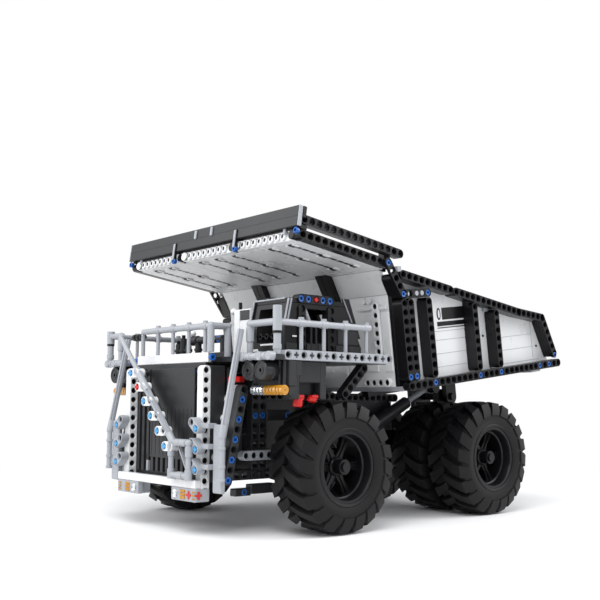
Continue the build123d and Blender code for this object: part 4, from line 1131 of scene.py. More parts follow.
@dataclass
class Deck(Assembly):
    """The deck's side beams and railings, and what hangs under its two balconies."""

    rail_z: float = 167.5
    rail_y: float = 124.0
    corner_x: float = 166.0
    stanchions: tuple[float, ...] = (141.6, 117.6, 93.6, 69.6)
    fender_y: float = 116.0
    connectors: tuple[tuple[float, float, float], ...] = ((137.0, 5.6, 102.0), (122.6, 6.4, 106.0))
    machinery_x: float = 144.0

    def side_rail(self, grey: Piece, black: Piece, sign: int, inner: float) -> None:
        """Adds the railing of one side.

        Args:
            grey: Piece of the tubes.
            black: Piece of the rings.
            sign: 1 for left, -1 for right.
            inner: Distance of the balcony's inner post from the middle.
        """
        y, z = sign * self.rail_y, self.rail_z
        x, crown = (self.corner_x, 180.0) if sign > 0 else (self.corner_x + 5, 172.5)
        grey.rod((self.stanchions[-1] - 3, y, z), (x, y, z), 2.6)
        grey.rod((x, y, z), (x, sign * inner, z), 2.8)
        for place in self.stanchions:
            grey.rod((place, y, 146.2), (place, y, z + 4.2), 1.6, 12)
            grey.sleeve((place, y, z), X, 3.6)
            grey.rod((place, y, z + 1), (place, y, z + 4.6), 2.4, 12)
        grey.rod((x, y, 142.2), (x, y, 158.6), 3.0)
        grey.rod((x, y, 160.2), (x, y, crown), 3.6, 18)
        black.rod((x, y, 158.4), (x, y, 160.4), 3.6, 18)
        grey.rod((x, y, 146), (x, y, 150), 3.5, 18)
        grey.rod((x, sign * inner, 142.2), (x, sign * inner, z), 2.6)
        grey.rod((x, sign * inner, 153), (x, sign * inner, 165), 3.3)
        grey.ball((x, sign * inner, z))
        low = min(inner, 90.0)
        grey.rod((172.4, sign * low, 141.0), (172.4, sign * 126.5, 141.0), 2.7)
        for reach in (low, 112.0, 124.0):
            grey.rod((169.5, sign * reach, 141.0), (175.4, sign * reach, 141.0), 3.5, 18)
            black.pin((175.6, sign * reach, 141.0), X, 2.2)
        for reach in (99.0, 107.0, 118.0):
            grey.sleeve((172.4, sign * reach, 141.0), Y, 1.5, 3.2)

    def front_rail(self, grey: Piece, black: Piece) -> None:
        """Adds the rail over the blank board.

        Args:
            grey: Piece of the tubes.
            black: Piece of the connectors.
        """
        x, z = 180.0, self.rail_z
        grey.rod((x, -49, z), (x, 56, z), 2.6)
        for y in (-24.0, 0.0, 24.0, 48.0):
            grey.rod((x, y, 145.8), (x, y, z), 1.6, 12)
            grey.sleeve((x, y, z), Y, 3.6)
            grey.rod((x, y, z + 1), (x, y, z + 4.4), 2.0, 12)
        grey.rod((x, 56, 146.0), (x, 56, z + 1), 3.0)
        grey.ball((x, 56, z))
        grey.rod((x, 56, z), (163, 56, z), 2.8)
        grey.rod((163, 56, z), (163, 56, 142.2), 2.8)
        grey.ball((163, 56, z))
        grey.rod((x, -49, 146.0), (x, -49, z), 1.8, 12)
        for y in (-66.0, -60.0, -54.0):
            black.sleeve((x - 2, y, z - 4), Y, 2, 3.0, 14)
        black.rod((x - 2, -68, z - 4), (x - 2, -49, z - 4), 1.8, 12)

    def air_cleaners(self) -> None:
        """Adds the two pairs of round air cleaners under the balconies."""
        dark = self.piece("air_cleaner_drums", DARK, "air_cleaners")
        drum = [(0, 0.3), (0, 7.0), (1.0, 7.7), (7.0, 7.7), (7.6, 7.2), (8.2, 7.7), (15.2, 7.7), (15.9, 7.1)]
        drum += [(15.9, 6.2), (15.3, 5.9), (15.3, 3.4), (15.8, 3.2), (15.8, 1.6), (12.0, 1.5), (12.0, 0.3)]
        for side in SIDES:
            for reach in (96.0, 112.0):
                dark.lathe(drum, (157.05, side * reach, 130.1), X, 40)

    def brackets(self, black: Piece) -> None:
        """Adds the beams that carry the air cleaners and lamps.

        Args:
            black: Piece of the pins under the deck.
        """
        beams = self.piece("balcony_bracket_beams", DARK, "lamp_brackets")
        for side in SIDES:
            beams.box((149.2, 156.8), (side * 88.0, side * 128.0), (118.0, 137.9), 0.5)
            beams.box((149.2, 156.8), (side * 88.0, side * 128.0), (111.1, 117.6), 0.5)
            beams.box((143.0, 149.0), (side * 120.2, side * 127.0), (126.0, 137.9), 0.5)
            for reach in (118.5, 124.0):
                beams.rod((158.4, side * reach, 118), (158.4, side * reach, 137.8), 1.6, 10)
            for z in (132.0, 114.4):
                black.pin((153.0, side * 128.0, z), Y * side, 2.6)

    def fenders(self, black: Piece) -> None:
        """Adds the fender frames behind the brackets, their red connectors and a black sheet of painted shade
        in each frame's opening.

        Args:
            black: Piece of the pins under the deck.
        """
        frames = self.piece("fender_frame_beams", DARK, "fender_frames")
        red = self.piece("red_connectors", RED, "red_blocks")
        hollow = self.piece("fender_painted_shade_sheets", BLACK)
        for side in SIDES:
            y = side * self.fender_y
            wide = about(y, HALF)
            for leg in ((111.0, 117.6), (139.6, 148.6)):
                frames.box(leg, wide, (108.0, 137.9), 0.5)
            frames.box((117.0, 140.0), wide, (121.0, 137.9), 0.5)
            # A thin black sheet in the frame's opening: painted shade under the balcony.
            hollow.box((117.4, 139.8), (y - side * 3.4, y - side * 2.4), (107.0, 121.4), 0.2)
            for x, width, low in self.connectors:
                red.box(about(x, width / 2), (y - 2.0, y + HALF), (109.0, 111.4), 0.4)
                red.rod((x + 1.6, y, low), (x + 0.4, y, 109.4), 3.9, 20, 0.8)
                red.rod((x - 1.4, y, 107.0), (x - 1.0, y, 110.4), 3.2, 20, 0.6)
                black.pin((x + 0.6, y + side * 4.1, low + 4.6), Y * side, 1.6)
            for x in (117.0, 125.0, 133.0, 141.0):
                black.pin((x, y + side * 4.2, 134.4), Y * side, 2.6)

    def machinery(self) -> None:
        """Adds the low dark machinery that stands on the deck behind the front rail."""
        dark = self.piece("deck_machinery", DARK)
        white = self.piece("deck_machinery_caps", WHITE)
        black = self.piece("deck_machinery_pins", BLACK)
        blue = self.piece("deck_machinery_blue_pins", BLUE)
        x, pipe_z = self.machinery_x, 160.0
        dark.box(about(x, 6), (-52, 34), (142, 148), 0.5)
        for y, high in ((-46.0, 158.0), (-38.0, 163.0), (-30.0, 156.0), (-14.0, pipe_z)):
            dark.rod((x, y, 147.9), (x, y, high), 3.0)
            dark.rod((x, y, 150.5), (x, y, 153.0), 3.8)
            black.axle((x, y, high), (x, y, high + 3), 1.6, 0.7)
        dark.rod((x, -24, pipe_z), (x, 24, pipe_z), 3.4, 18)
        dark.rod((x, -24, pipe_z), (x, -14, pipe_z), 4.4, 18)
        dark.rod((x, 24, pipe_z), (x, 24, 148), 3.0)
        white.ball((146, -20, 166.5), 2.9)
        blue.pin((147.5, 20.0, pipe_z), X, 3.1)
        for y in range(-50, 31, 8):
            black.pin((150.1, y, 145.0), X, 2.3)

    def build(self) -> None:
        """Builds the deck's pieces."""
        beams = self.piece("deck_side_hole_beams", GREY, "deck_side_beams")
        blue = self.piece("deck_beam_pins", BLUE)
        shade_plugs = self.piece("deck_beam_hole_shade_pins", BLACK)
        for side in SIDES:
            first = Vector((157.6, side * self.rail_y, 142.1))
            beams.beam(first, -X, Z, 15, crosses=range(1, 15, 2))
            # Black pins deep in every other hole: partly real pins, partly painted shade in the holes.
            shade_plugs.shade_plugs(first, -X, Y * side, range(0, 15, 2))
            blue.pin((171.0, side * 86.0, 141.8), X)
        black = self.piece("railing_rings", BLACK)
        left = self.piece("railing_left", GREY, "deck_rail_left")
        right = self.piece("railing_right", GREY, "deck_rail_right")
        self.side_rail(left, black, 1, 90.0)
        self.side_rail(right, black, -1, 104.0)
        self.front_rail(self.piece("railing_front", GREY, "deck_rail_front"), black)
        under = self.piece("under_deck_pins", BLACK)
        self.air_cleaners()
        self.brackets(under)
        self.fenders(under)
        self.machinery()
        self.finish()


@dataclass
class Cab(Assembly):
    """The cab's roof, pillars, hole beams, panel lines and the white box beside it."""

    outer_y: float = 104.0
    inner_y: float = 60.0
    roof_z: float = 189.9
    front_x: float = 141.2
    seams: tuple[Pair, ...] = ((58.0, 71.0), (71.6, 86.0), (97.4, 106.0), (106.6, 118.6), (129.4, 141.0))

    def roof(self, black: Piece, grey: Piece) -> None:
        """Adds the roof with its hole beams, its pins and a thin grey bar along its front edge as a painted
        highlight.

        Args:
            black: Piece of the hole beams.
            grey: Piece of the painted edge highlights and the window rod.
        """
        blue = self.piece("cab_pins", BLUE)
        red = self.piece("cab_red_axle", RED)
        black.box((74.2, 137.3), (60.2, 103.8), (186.1, 190.2), 0.4)
        for reach in (self.outer_y - 2.7, self.inner_y + 2.7):
            black.beam((125, reach, self.roof_z), -X, Z, 5)
        for x in (125.0, 117.0, 101.0, 93.0):
            blue.pin((x, self.outer_y + 1.3, self.roof_z), Y, 3.0)
        red.cross_pin((109, self.outer_y + 1.2, self.roof_z), Y, 1.9)
        # A thin grey bar along the roof's front edge: a painted highlight.
        grey.box((136.6, 138.2), (60.0, 99.0), (189.0, 190.4), 0.3)

    def pillars(self, black: Piece, grey: Piece, dark: Piece) -> None:
        """Adds the pillars with thin grey rods along their edges as painted highlights, the slanted rear
        plate and the rod in the window.

        Args:
            black: Piece of the hole beams.
            grey: Piece of the painted edge highlights and the window rod.
            dark: Piece of the panels.
        """
        for x in (124.4, 92.2):
            black.beam((x, self.outer_y - 2.4, 181.5), -Z, X, 5)
        pillar = [(133.5, 189.0), (138.2, 189.0), (143.2, 166.5), (138.0, 166.5)]
        for reach in (self.outer_y + 0.6, self.inner_y - 0.2):
            # Thin grey rods along each pillar's edges: painted highlights.
            for shift in (-1.6, 1.4):
                grey.rod((137.0 + shift, reach, 189.4), (141.6 + shift, reach, 169.0), 0.8, 8, 0)
            dark.plate(pillar, basis((0, reach - 0.9, 0), X, Z), 1.6, 0.2)
        grey.rod((119.0, 100.5, 184.0), (112.5, 100.5, 170.5), 1.9, 14)
        tail = [(70.0, 193.4), (77.4, 193.4), (67.4, 173.0), (61.0, 160.0), (56.5, 160.0)]
        black.plate(tail, basis((0, self.outer_y - 1.2, 0), X, Z), 2.6, 0.3)
        # A thin grey rod along the rear plate's slanted edge: a painted highlight.
        grey.rod((77.4, self.outer_y + 0.2, 193.0), (67.1, self.outer_y + 0.2, 173.5), 0.6, 8, 0)

    def panels(self, dark: Piece) -> None:
        """Adds the low side panels and the thin bars between them.

        Args:
            dark: Piece of the panels.
        """
        inner = self.outer_y - 0.2
        for span in self.seams:
            dark.box(span, (inner, self.outer_y + 1.0), (143.0, 153.0), 0.3)
        for x in (99.5, 108.5, 114.0):
            dark.rod((x, self.outer_y + 0.6, 143), (x, self.outer_y + 0.6, 167), 0.9, 8, 0)
        dark.box((60.0, 84.0), (inner, self.outer_y + 0.9), (154.0, 166.0), 0.3)

    def side_box(self, black: Piece, white: Piece, dark: Piece) -> None:
        """Adds the white box beside the cab, the white marks and the front pins.

        Args:
            black: Piece of the hole beams.
            white: Piece of the box and marks.
            dark: Piece of the panels.
        """
        front = self.front_x
        white.box((front, front + 1.3), (62.0, 70.0), (147.0, 149.0), 0.2)
        white.box((front, front + 1.3), (73.0, 90.0), (151.5, 153.0), 0.2)
        white.box((130.0, 134.0), (self.outer_y, self.outer_y + 1.2), (158.0, 159.4), 0.2)
        for y in range(64, 97, 8):
            black.pin((front + 0.8, y, 159.0), X, 2.5)
        white.box((100.0, 141.8), (44.2, 58.0), (142.1, 184.0), 0.5)
        white.box((134.0, 142.0), (36.0, 44.0), (142.1, 184.0), 0.6)
        dark.box((front, front + 1.0), (44.6, 57.6), (174.6, 183.0), 0.2)
        white.ball((139.6, 32.6, 183.0), 3.0)
        black.rod((138.0, 39.8, 184.0), (138.0, 39.8, 190.5), 1.6, 10)

    def build(self) -> None:
        """Builds the cab's pieces."""
        black = self.piece("cab_hole_beams", BLACK, "cab_roof")
        dark = self.piece("cab_panels", DARK)
        grey = self.piece("cab_edge_highlights_and_window_rod", GREY)
        white = self.piece("cab_white_box", WHITE, "cab_side_box")
        self.roof(black, grey)
        self.pillars(black, grey, dark)
        self.panels(dark)
        self.side_box(black, white, dark)
        self.finish()


@dataclass
class Bed(Assembly):
    """The tipping bed: white panels between black pin-hole rails, ribs and struts."""

    body: Body = Body.BED
    rail_y: float = 127.0
    rib_y: float = 125.0
    rib_depth: float = 11.8
    skin_y: float = 119.0
    ring_middle: Pair = (-57.0, 60.2)
    holes: int = 29
    top_front: Pair = (-1.5, 97.1)
    top_bend: Pair = (-164.2, 55.1)
    top_rear: Pair = (-203.4, 47.3)
    tail: Pair = (-219.7, 8.0)
    ribs: tuple[tuple[float, float, float], ...] = (
        (0, 8, 72), (-8, 8, 72), (-32, 8, 72), (-96, 8, 64), (-128, 8, 56),
    )
    stripe_rows: tuple[tuple[float, float, float, float], ...] = (
        (-93.0, -61.5, 54.6, 65.6), (-93.0, -54.0, 48.9, 53.0), (-93.0, -54.0, 46.9, 47.7),
    )
    blue_pins: tuple[Pair, ...] = (
        (-32, 0), (-96, 0), (-128, 0), (-192, 0), (-208, 0), (0, 8), (-8, 8), (0, 80), (-32, 80), (-219.7, 8),
    )
    seam_rows: tuple[tuple[float, float, tuple[float, ...]], ...] = (
        (-91.8, -36.2, (44.4, 36.4, 24.0, 12.0)), (-27.8, -12.2, (45.0, 35.0)), (-196, -132.2, (32.0,)),
        (-200, -132.2, (19.2,)), (-206, -132.2, (6.0,)),
    )

    def row(self, piece: Piece, side: int, start: Pair, end: Pair, skip: int = 0, count: int = 0) -> None:
        """Adds one full-depth beam between two local points of the bed's side.

        Args:
            piece: The piece that gets it.
            side: 1 for left, -1 for right.
            start: Local x and z of its first hole.
            end: Local x and z of its last hole.
            skip: Modules left out at its start.
            count: How many holes, 0 for as many as reach the end.
        """
        a = bed_point(start[0], side * self.rib_y, start[1])
        run = bed_point(end[0], side * self.rib_y, end[1]) - a
        along = run.normalized()
        holes = count or round(run.length / MODULE) + 1 - skip
        piece.beam(a + along * MODULE * skip, along, Y.cross(along), holes, self.rib_depth)

    def rails(self, pins: Piece) -> None:
        """Adds the rails and the top rim's beams of both sides, with the pins of the sides.

        Args:
            pins: Piece of the blue pins.
        """
        rails = self.piece("bed_rail_beams", BLACK, "bed_rails")
        hinge = bed_local(canopy_point(CANOPY_LAST_HOLE, 0, 0))
        for side in SIDES:
            rails.beam(bed_point(0, side * self.rail_y, 0), -BED_F, BED_U, self.holes)
            self.row(rails, side, self.top_front, self.top_bend, 0, 9)
            self.row(rails, side, self.top_front, self.top_bend, 9)
            self.row(rails, side, self.top_bend, self.top_rear)
            self.row(rails, side, self.top_rear, self.tail)
            for x, z in (*self.blue_pins, (hinge.x, hinge.z)):
                pins.pin(bed_point(x, side * (self.rail_y + HALF), z), Y * side)

    def ribs_and_props(self, pins: Piece) -> None:
        """Adds the side ribs and the struts that hold the canopy.

        Args:
            pins: Piece of the blue pins.
        """
        ribs = self.piece("bed_rib_beams", BLACK, "bed_ribs")
        wall_head = bed_local(canopy_point(-99.9, 0, -HALF))
        strut_head = bed_local(canopy_point(-91.9, 0, -HALF))
        hinge = bed_local(canopy_point(CANOPY_LAST_HOLE, 0, 0))
        heads = [(head.x, head.z) for head in (strut_head, wall_head)]
        prop = [(HALF, 57), (9.4, 57), (9.4, 78.6), *heads, (HALF, 81)]
        for side in SIDES:
            for x, low, high in self.ribs:
                self.row(ribs, side, (x, low), (x, high))
            self.row(ribs, side, (0, 80), (-32, 80))
            ribs.plate([(-HALF, 0.2), (HALF, 0.2), (HALF, 80), (-HALF, 80)], bed_plane(side * 117.1), 4.0)
            for middle, depth, head in ((121.55, 12.9, (7.6, 97.2)), (129.45, 2.9, (hinge.x, hinge.z))):
                foot, top = bed_point(0, side * middle, 80), bed_point(head[0], side * middle, head[1])
                along = (top - foot).normalized()
                ribs.beam(foot, along, Y.cross(along), round((top - foot).length / MODULE) + 1, depth)
            for middle in (44.0, 52.0):
                ribs.plate(prop, bed_plane(side * middle), 7.6)
            ribs.box((-113, -92), (side * 119.2, side * 126.0), (64.5, 70.0), 0.4, bed_frame())
            pins.pin(bed_point(9.5, side * 48, 62), BED_F)

    def connectors(self) -> None:
        """Adds the grey connectors on the sides and at the tail."""
        greys = self.piece("bed_grey_connectors", GREY)
        for side in SIDES:
            greys.box((-131, -121), (side * 119.2, side * 122.5), (58.5, 63.0), 0.4, bed_frame())
            greys.box((0.0, 5.0), (side * 130.8, side * 124.0), (99.5, 104.5), 0.5, bed_frame())
            greys.box((-213, -197), (side * 100.0, side * 116.0), (-7.4, -4.1), 0.4, bed_frame())
            for x in (-5.0, -17.0, -24.0):
                greys.rod(bed_point(x, side * 126.5, 80), bed_point(x, side * 130.8, 80), 2.3, 12)

    def seams(self, lines: Piece) -> None:
        """Adds the seams between the side panels.

        Args:
            lines: Piece of the seams.
        """
        for side in SIDES:
            skin = (side * self.skin_y, side * (self.skin_y + 0.22))
            for low, high, heights in self.seam_rows:
                for z in heights:
                    lines.box((low, high), skin, about(z, 0.2), 0, bed_frame())
            lines.box((-197.7, -197.3), skin, (8, 46), 0, bed_frame())
        lines.box((3.8, 4.3), (-114.8, 114.8), (80.8, 81.3), 0, bed_frame())

    def stripes(self, white: Piece) -> None:
        """Adds the plain stripes, the plain ring and the small clips of the sides.

        Args:
            white: Piece of the ring's middle.
        """
        dark = self.piece("bed_stripes", BLACK)
        for side in SIDES:
            depth = (side * self.skin_y, side * (self.skin_y + 0.35))
            for low, high, bottom, top in self.stripe_rows:
                dark.box((low, high), depth, (bottom, top), 0.1, bed_frame())
            dark.plate(oval(2.6, 5.6, self.ring_middle), bed_plane(side * (self.skin_y + 0.15)), 0.4, 0)
            white.plate(oval(1.3, 3.92, self.ring_middle), bed_plane(side * (self.skin_y + 0.3)), 0.3, 0)
            for x, z in ((-118.7, 35.6), (-204.2, 19.2), (-93.0, 36.0), (-93.0, 44.0)):
                skin, head = (bed_point(x, side * (self.skin_y + out), z) for out in (0, 0.9))
                dark.rod(skin, head, 1.1, 10, 0)

    def front_wall(self, white: Piece) -> None:
        """Adds the front wall's beams, panels and black pins; the pins in the wall's holes are partly painted
        shade.

        Args:
            white: Piece of the front wall.
        """
        holes = self.piece("bed_front_wall_hole_shade_pins", BLACK)
        place = bed_frame()
        for side in SIDES:
            for first, along, across, count in (
                (bed_point(5.9, side * 101.0, 71.6), -BED_U, Y, 6),
                (bed_point(5.9, side * 84.0, 4.2), Y * side, BED_U, 4),
            ):
                white.beam(first, along, across, count, 3.8)
                # Black pins deep in every hole: partly real pins, partly painted shade in the holes.
                holes.shade_plugs(first, along, BED_F, range(count), 1.9)
            for low, high in ((78.0, 96.5), (105.5, 114.0)):
                white.box((4.0, 7.0), (side * low, side * high), (68.6, 71.4), 0.4, place)
            for reach in (86.0, 93.0):
                white.rod(bed_point(HALF, side * reach, 77), bed_point(6.8, side * reach, 77), 3.0)
                holes.pin(bed_point(6.9, side * reach, 77), BED_F, 1.8)
            white.box((HALF, 5.4), (side * 105.5, side * 114.8), (14, 66), 0.4, place)
            white.box((HALF, 4.9), (side * 60.0, side * 96.8), (14, 66), 0.4, place)
        white.box((HALF, 4.9), (-38.5, 38.5), (14, 56), 0.4, place)
        for y in (-56.0, 56.0, -24.0, 24.0):
            white.box((HALF, 5.6), about(y, 2), (10, 56), 0.3, place)

    def floor_ribs(self) -> None:
        """Adds the cross ribs under the bed's floor."""
        under = self.piece("bed_floor_ribs", GREY)
        for x in range(-208, 0, 16):
            under.box(about(x, 1.2), (-119.0, 119.0), (-5.4, -3.85), 0.3, bed_frame())

    def build(self) -> None:
        """Builds every piece of the bed but the canopy."""
        pins = self.piece("bed_blue_pins", BLUE)
        self.rails(pins)
        self.ribs_and_props(pins)
        self.connectors()
        self.seams(self.piece("bed_panel_seams", GREY))
        white = self.piece("bed_front_wall_beams", WHITE)
        self.stripes(white)
        self.front_wall(white)
        self.floor_ribs()
        self.finish()


def bed_frame() -> Matrix:
    """Placing matrix of the bed's sloping frame: local x forward, y left, z up."""
    return basis(BED_HOLE, BED_F, Y)


def bed_plane(y: float) -> Matrix:
    """Placing matrix of an upright plane of the bed: local x forward, y up its slope."""
    return basis(bed_point(0, y, 0), BED_F, BED_U)


def canopy_frame() -> Matrix:
    """Placing matrix of the canopy's sloping frame: local x forward, y left, z up."""
    return basis(CANOPY_HOLE, CANOPY_F, Y)


def canopy_plane(x: float) -> Matrix:
    """Placing matrix of a plane across the canopy: local x to the left, y up its slope."""
    return basis(canopy_point(x, 0, 0), Y, CANOPY_U)


def bed_local(point: Vector) -> Vector:
    """Turns a point of the truck into the bed's sloping frame."""
    return bed_frame().inverted() @ point


@dataclass
class Canopy(Assembly):
    """The bed's canopy: underside, side beams, fascia with its tabs, and the white strip under it."""

    body: Body = Body.BED
    beam_y: float = 124.0
    gap: float = 12.4
    slot_rows: tuple[float, ...] = (-98.0, -72.0, -22.0, 3.0, 29.0, 79.0, 104.5)
    strip_middles: tuple[float, ...] = (-80.0, 0.0, 80.0)
    rear_beam_x: float = -103.9

    def side_beams(self) -> None:
        """Adds the paired side beams, the rear cross beam, their blocks and the blue pins."""
        beams = self.piece("canopy_side_hole_beams", BLACK, "canopy_beams")
        blue = self.piece("canopy_side_pins", BLUE)
        place = canopy_frame()
        for side in SIDES:
            beams.beam(canopy_point(0, side * self.beam_y, 0), -CANOPY_F, CANOPY_U, 13)
            beams.beam(canopy_point(0, side * self.beam_y, self.gap), -CANOPY_F, CANOPY_U, 15)
            for x in (0.0, self.rear_beam_x):
                beams.box(about(x, 3.8), (side * 112.3, side * 120.0), (4.0, 16.2), 0.5, place)
            beams.box((-112, -4), (side * 114.0, side * 120.0), (-0.9, 2.0), 0.4, place)
            blue.pin(canopy_point(CANOPY_LAST_HOLE, side * (self.beam_y + HALF), 0), Y * side)
        for y in range(-112, 120, 8):
            spot = canopy_point(self.rear_beam_x, y, 0)
            beams.stamp(CELLS.template(Cell.MIDDLE, 7.6), basis(spot, Y, CANOPY_U))

    def underside(self) -> None:
        """Adds the underside plate in three panels with its rows of slots."""
        white = self.piece("canopy_underside", WHITE, "canopy_plate")
        slots = self.piece("canopy_slots", BLACK)
        place = canopy_frame()
        for span in ((-120, -40.1), (-39.9, 39.9), (40.1, 120)):
            white.box((-99.8, -4.1), span, (-3.8, -1.0), 0.3, place)
        for y in self.slot_rows:
            for step in range(8):
                slots.box(about(-16.0 - MODULE * step, 3.1), about(y, 1.7), (-4.1, -3.6), 0, place)
            for x in (-9.5, -44.0, -79.5):
                for clip in about(y, 4.05):
                    white.box(about(x, 3.4), about(clip, 1.45), (-4.9, -3.7), 0.3, place)
                slots.box(about(x, 3.0), about(y, 2.2), (-4.8, -3.6), 0.2, place)

    def strip(self) -> None:
        """Adds the three ribbed white beams under the fascia."""
        white = self.piece("canopy_strip_beams", WHITE)
        black = self.piece("canopy_strip_pins", BLACK)
        turns = [math.pi * step / 8 for step in range(-4, 5)]
        outline = [(s * (36 + HALF * math.cos(t)), s * HALF * math.sin(t)) for s in SIDES for t in turns]
        for middle in self.strip_middles:
            white.plate(outline, basis(canopy_point(-0.8, middle, 0), Y, CANOPY_U), 6.0, 0.4)
            for step in range(8):
                y = middle - 26.0 + 7.6 * step
                white.plate(oval(3.0, 3.7, (y, 0)), canopy_plane(3.1), 2.4, 0.6)
                black.plate(oval(1.35, 1.85, (y, 0)), canopy_plane(4.2), 0.5, 0)
            joint, plug = middle + 38.2, middle - 34.0
            black.rod(canopy_point(-3.0, joint, 0), canopy_point(4.4, joint, 0), 3.6)
            white.rod(canopy_point(3.6, plug, 0), canopy_point(4.9, plug, 0), 3.9, 20)
            black.pin(canopy_point(5.1, plug, 0), CANOPY_F, 3.2)

    def fascia(self) -> None:
        """Adds the blank fascia, its end caps and its tabs."""
        dark = self.piece("canopy_blank_fascia", DARK, "canopy_fascia")
        grey = self.piece("canopy_tabs", GREY)
        blue = self.piece("canopy_blue_pins", BLUE)
        black = self.piece("canopy_end_caps", BLACK)
        place = canopy_frame()
        dark.box((4.0, 7.6), (-128, 128), (5.4, 22.4), 0.4, place)
        dark.box((7.4, 7.8), (-127.6, 127.6), (13.7, 14.1), 0, place)
        black.box((3.4, 4.1), (-119.0, 119.0), (3.6, 6.4), 0, place)
        for y in (-46.4, 47.5):
            grey.box((6.0, 8.9), (y - 1.8, y + 1.2), (-2.5, 13.0), 0.5, place)
            black.box((6.0, 8.6), (y + 1.2, y + 2.4), (-2.0, 13.0), 0.2, place)
            blue.pin(canopy_point(8.6, y, -3.4), CANOPY_F, 2.8)
        for y in (-13.5, 11.2):
            grey.box((7.4, 9.0), (y - 1.6, y + 1.4), (13.0, 21.0), 0.4, place)
        for side in SIDES:
            black.box((0.2, 4.2), (side * 124.6, side * 130.0), (13.0, 22.3), 0.5, place)
            black.box((-3.8, 3.8), (side * 120.2, side * 127.6), (4.2, 8.2), 0.5, place)
            grey.box((4.0, 7.6), (side * 128.0, side * 129.4), (5.4, 22.4), 0.3, place)
            grey.box((-4.0, 3.0), (side * 113.0, side * 119.6), (7.8, 11.6), 0.6, place)
            grey.box((2.0, 5.6), (side * 108.5, side * 111.5), (1.0, 11.0), 0.6, place)
            blue.pin(canopy_point(7.7, side * 126.0, 2.0), CANOPY_F, 2.6)

    def build(self) -> None:
        """Builds the canopy's pieces."""
        self.side_beams()
        self.underside()
        self.strip()
        self.fascia()
        self.finish()


def dress(node: str, look: Finish, edge: float = 0.3) -> None:
    """Gives a CAD node its finish and soft edges.

    Args:
        node: The node's name.
        look: The finish.
        edge: Width of the softened edges.
    """
    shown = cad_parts[node]
    shown.data.materials.clear()
    shown.data.materials.append(look.material())
    soft = shown.modifiers.new("soft_edges", "BEVEL")
    soft.width = edge * MM
    soft.segments = 1
    soft.limit_method = "ANGLE"
    soft.angle_limit = math.radians(50)


PLAIN_LOOKS = {
    "frame_rails": BLACK, "cross_members": DARK, "rear_axle": BLACK, "rear_struts": DARK,
    "front_axle": BLACK, "battery_block": DARK, "drive_block": BLACK, "deck_plate": DARK,
    "deck_posts": BLACK, "cab_shell": BLACK, "cab_seat": BLACK, "hoist_brackets": BLACK,
    "knuckle_left": BLACK, "knuckle_right": BLACK, "steering_link": BLACK, "hoist_barrel_left": DARK,
    "hoist_barrel_right": DARK, "hoist_rod_left": GREY, "hoist_rod_right": GREY, "bed_side_left": WHITE,
    "bed_side_right": WHITE, "bed_floor": GREY, "bed_front_wall": WHITE, "bed_underframe": BLACK,
}


@dataclass(frozen=True)
class Lamp:
    """One soft square light aimed at the truck, in metres and watts."""

    name: str
    place: tuple[float, float, float]
    size: float
    power: float
    target: tuple[float, float, float] = (0, 0, 0.12)

    def build(self) -> None:
        """Hangs the light."""
        data = bpy.data.lights.new(self.name, "AREA")
        data.shape = "SQUARE"
        data.size = self.size
        data.energy = self.power
        lamp = bpy.data.objects.new(self.name, data)
        lamp.location = self.place
        lamp.rotation_mode = "QUATERNION"
        lamp.rotation_quaternion = (Vector(self.target) - Vector(self.place)).to_track_quat("-Z", "Y")
        bpy.context.scene.collection.objects.link(lamp)


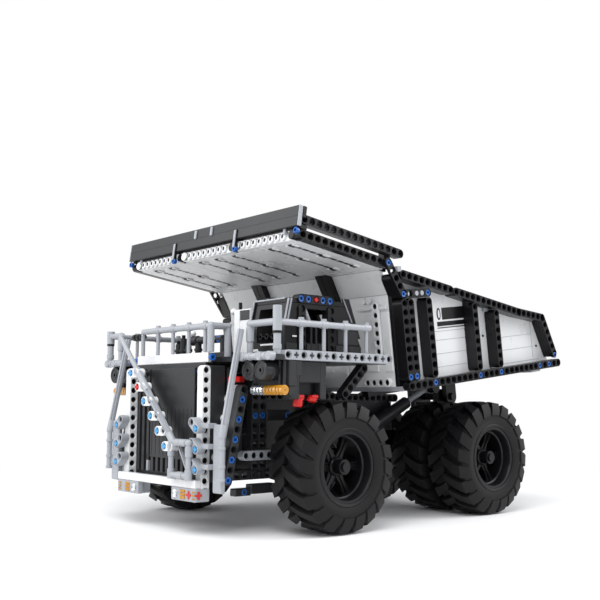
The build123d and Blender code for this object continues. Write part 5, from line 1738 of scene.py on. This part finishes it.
@dataclass(frozen=True)
class Studio:
    """Camera, floor, lights and backdrop, in metres."""

    eye: tuple[float, float, float] = (0.6046, 0.6571, 0.10735)
    yaw: float = -2.2843
    pitch: float = 0.1106
    roll: float = 0.005
    lens: float = 54.07
    floor_half: float = 30.0
    fade: Pair = (0.32, 0.75)
    floor_tones: Pair = (0.86, 0.88)
    fill_color: tuple[float, float, float] = (0.95, 0.97, 1.0)
    fill_strength: float = 0.7
    lamps: tuple[Lamp, ...] = (
        Lamp("key", (0.9, 0.6, 1.5), 1.2, 24),
        Lamp("fill", (1.3, -0.8, 0.9), 1.4, 12),
        Lamp("rim", (-1.2, 0.9, 1.1), 1.2, 16),
    )

    def camera(self) -> None:
        """Makes the camera at the photograph's angle."""
        data = bpy.data.cameras.new("photo_camera")
        data.lens = self.lens
        data.sensor_width = 36.0
        data.clip_start, data.clip_end = 0.01, 20.0
        shot = bpy.data.objects.new("photo_camera", data)
        bpy.context.scene.collection.objects.link(shot)
        level = math.cos(self.pitch)
        ahead = Vector((math.cos(self.yaw) * level, math.sin(self.yaw) * level, math.sin(self.pitch)))
        right = Vector((math.sin(self.yaw), -math.cos(self.yaw), 0))
        up = right.cross(ahead)
        c, s = math.cos(self.roll), math.sin(self.roll)
        right, up = right * c + up * s, up * c - right * s
        turn = Matrix((right, up, -ahead)).transposed().to_4x4()
        shot.matrix_world = Matrix.Translation(self.eye) @ turn
        bpy.context.scene.camera = shot

    def floor_material(self) -> bpy.types.Material:
        """Makes the pale floor's material, which fades to white away from the truck.

        Returns:
            The material.
        """
        mat = bpy.data.materials.new("pale_floor")
        mat.use_nodes = True
        nodes, links = mat.node_tree.nodes, mat.node_tree.links
        shader = nodes["Principled BSDF"]
        place = nodes.new("ShaderNodeTexCoord")
        cloud = nodes.new("ShaderNodeTexNoise")
        cloud.inputs["Scale"].default_value = 3.0
        tone = nodes.new("ShaderNodeMapRange")
        tone.inputs["To Min"].default_value, tone.inputs["To Max"].default_value = self.floor_tones
        links.new(place.outputs["Object"], cloud.inputs["Vector"])
        links.new(cloud.outputs["Fac"], tone.inputs["Value"])
        links.new(tone.outputs["Result"], shader.inputs["Base Color"])
        shader.inputs["Roughness"].default_value = 0.9
        reach = nodes.new("ShaderNodeVectorMath")
        reach.operation = "LENGTH"
        fade = nodes.new("ShaderNodeMapRange")
        fade.interpolation_type = "SMOOTHSTEP"
        fade.inputs["From Min"].default_value, fade.inputs["From Max"].default_value = self.fade
        glow = nodes.new("ShaderNodeEmission")
        glow.inputs["Color"].default_value = (1, 1, 1, 1)
        blend = nodes.new("ShaderNodeMixShader")
        links.new(place.outputs["Object"], reach.inputs[0])
        links.new(reach.outputs["Value"], fade.inputs["Value"])
        links.new(fade.outputs["Result"], blend.inputs["Fac"])
        links.new(shader.outputs["BSDF"], blend.inputs[1])
        links.new(glow.outputs["Emission"], blend.inputs[2])
        links.new(blend.outputs["Shader"], nodes["Material Output"].inputs["Surface"])
        return mat

    def floor(self) -> None:
        """Makes the pale floor."""
        bm = bmesh.new()
        bmesh.ops.create_grid(bm, x_segments=1, y_segments=1, size=self.floor_half)
        mesh = bpy.data.meshes.new("floor")
        bm.to_mesh(mesh)
        bm.free()
        floor = bpy.data.objects.new("floor", mesh)
        bpy.context.scene.collection.objects.link(floor)
        mesh.materials.append(self.floor_material())

    def world(self) -> None:
        """Makes the white backdrop and the even fill light."""
        world = bpy.data.worlds.new("studio")
        world.use_nodes = True
        nodes, links = world.node_tree.nodes, world.node_tree.links
        nodes.clear()
        path = nodes.new("ShaderNodeLightPath")
        fill = nodes.new("ShaderNodeBackground")
        fill.inputs["Color"].default_value = (*self.fill_color, 1)
        fill.inputs["Strength"].default_value = self.fill_strength
        white = nodes.new("ShaderNodeBackground")
        white.inputs["Color"].default_value = (1, 1, 1, 1)
        white.inputs["Strength"].default_value = 1.0
        mix = nodes.new("ShaderNodeMixShader")
        out = nodes.new("ShaderNodeOutputWorld")
        links.new(path.outputs["Is Camera Ray"], mix.inputs["Fac"])
        links.new(fill.outputs["Background"], mix.inputs[1])
        links.new(white.outputs["Background"], mix.inputs[2])
        links.new(mix.outputs["Shader"], out.inputs["Surface"])
        bpy.context.scene.world = world

    def build(self) -> None:
        """Builds the whole studio."""
        self.camera()
        self.floor()
        for lamp in self.lamps:
            lamp.build()
        self.world()
        bpy.context.scene.view_settings.view_transform = "Standard"


def main() -> None:
    """Builds every assembly in order, then the studio."""
    logging.basicConfig(level=logging.INFO, format="%(message)s")
    for node, look in PLAIN_LOOKS.items():
        dress(node, look)
    Wheels().build()
    Front().build()
    Ladders().build()
    Columns().build()
    Deck().build()
    Cab().build()
    Bed().build()
    Canopy().build()
    Studio().build()


if __name__ == "__main__":
    main()
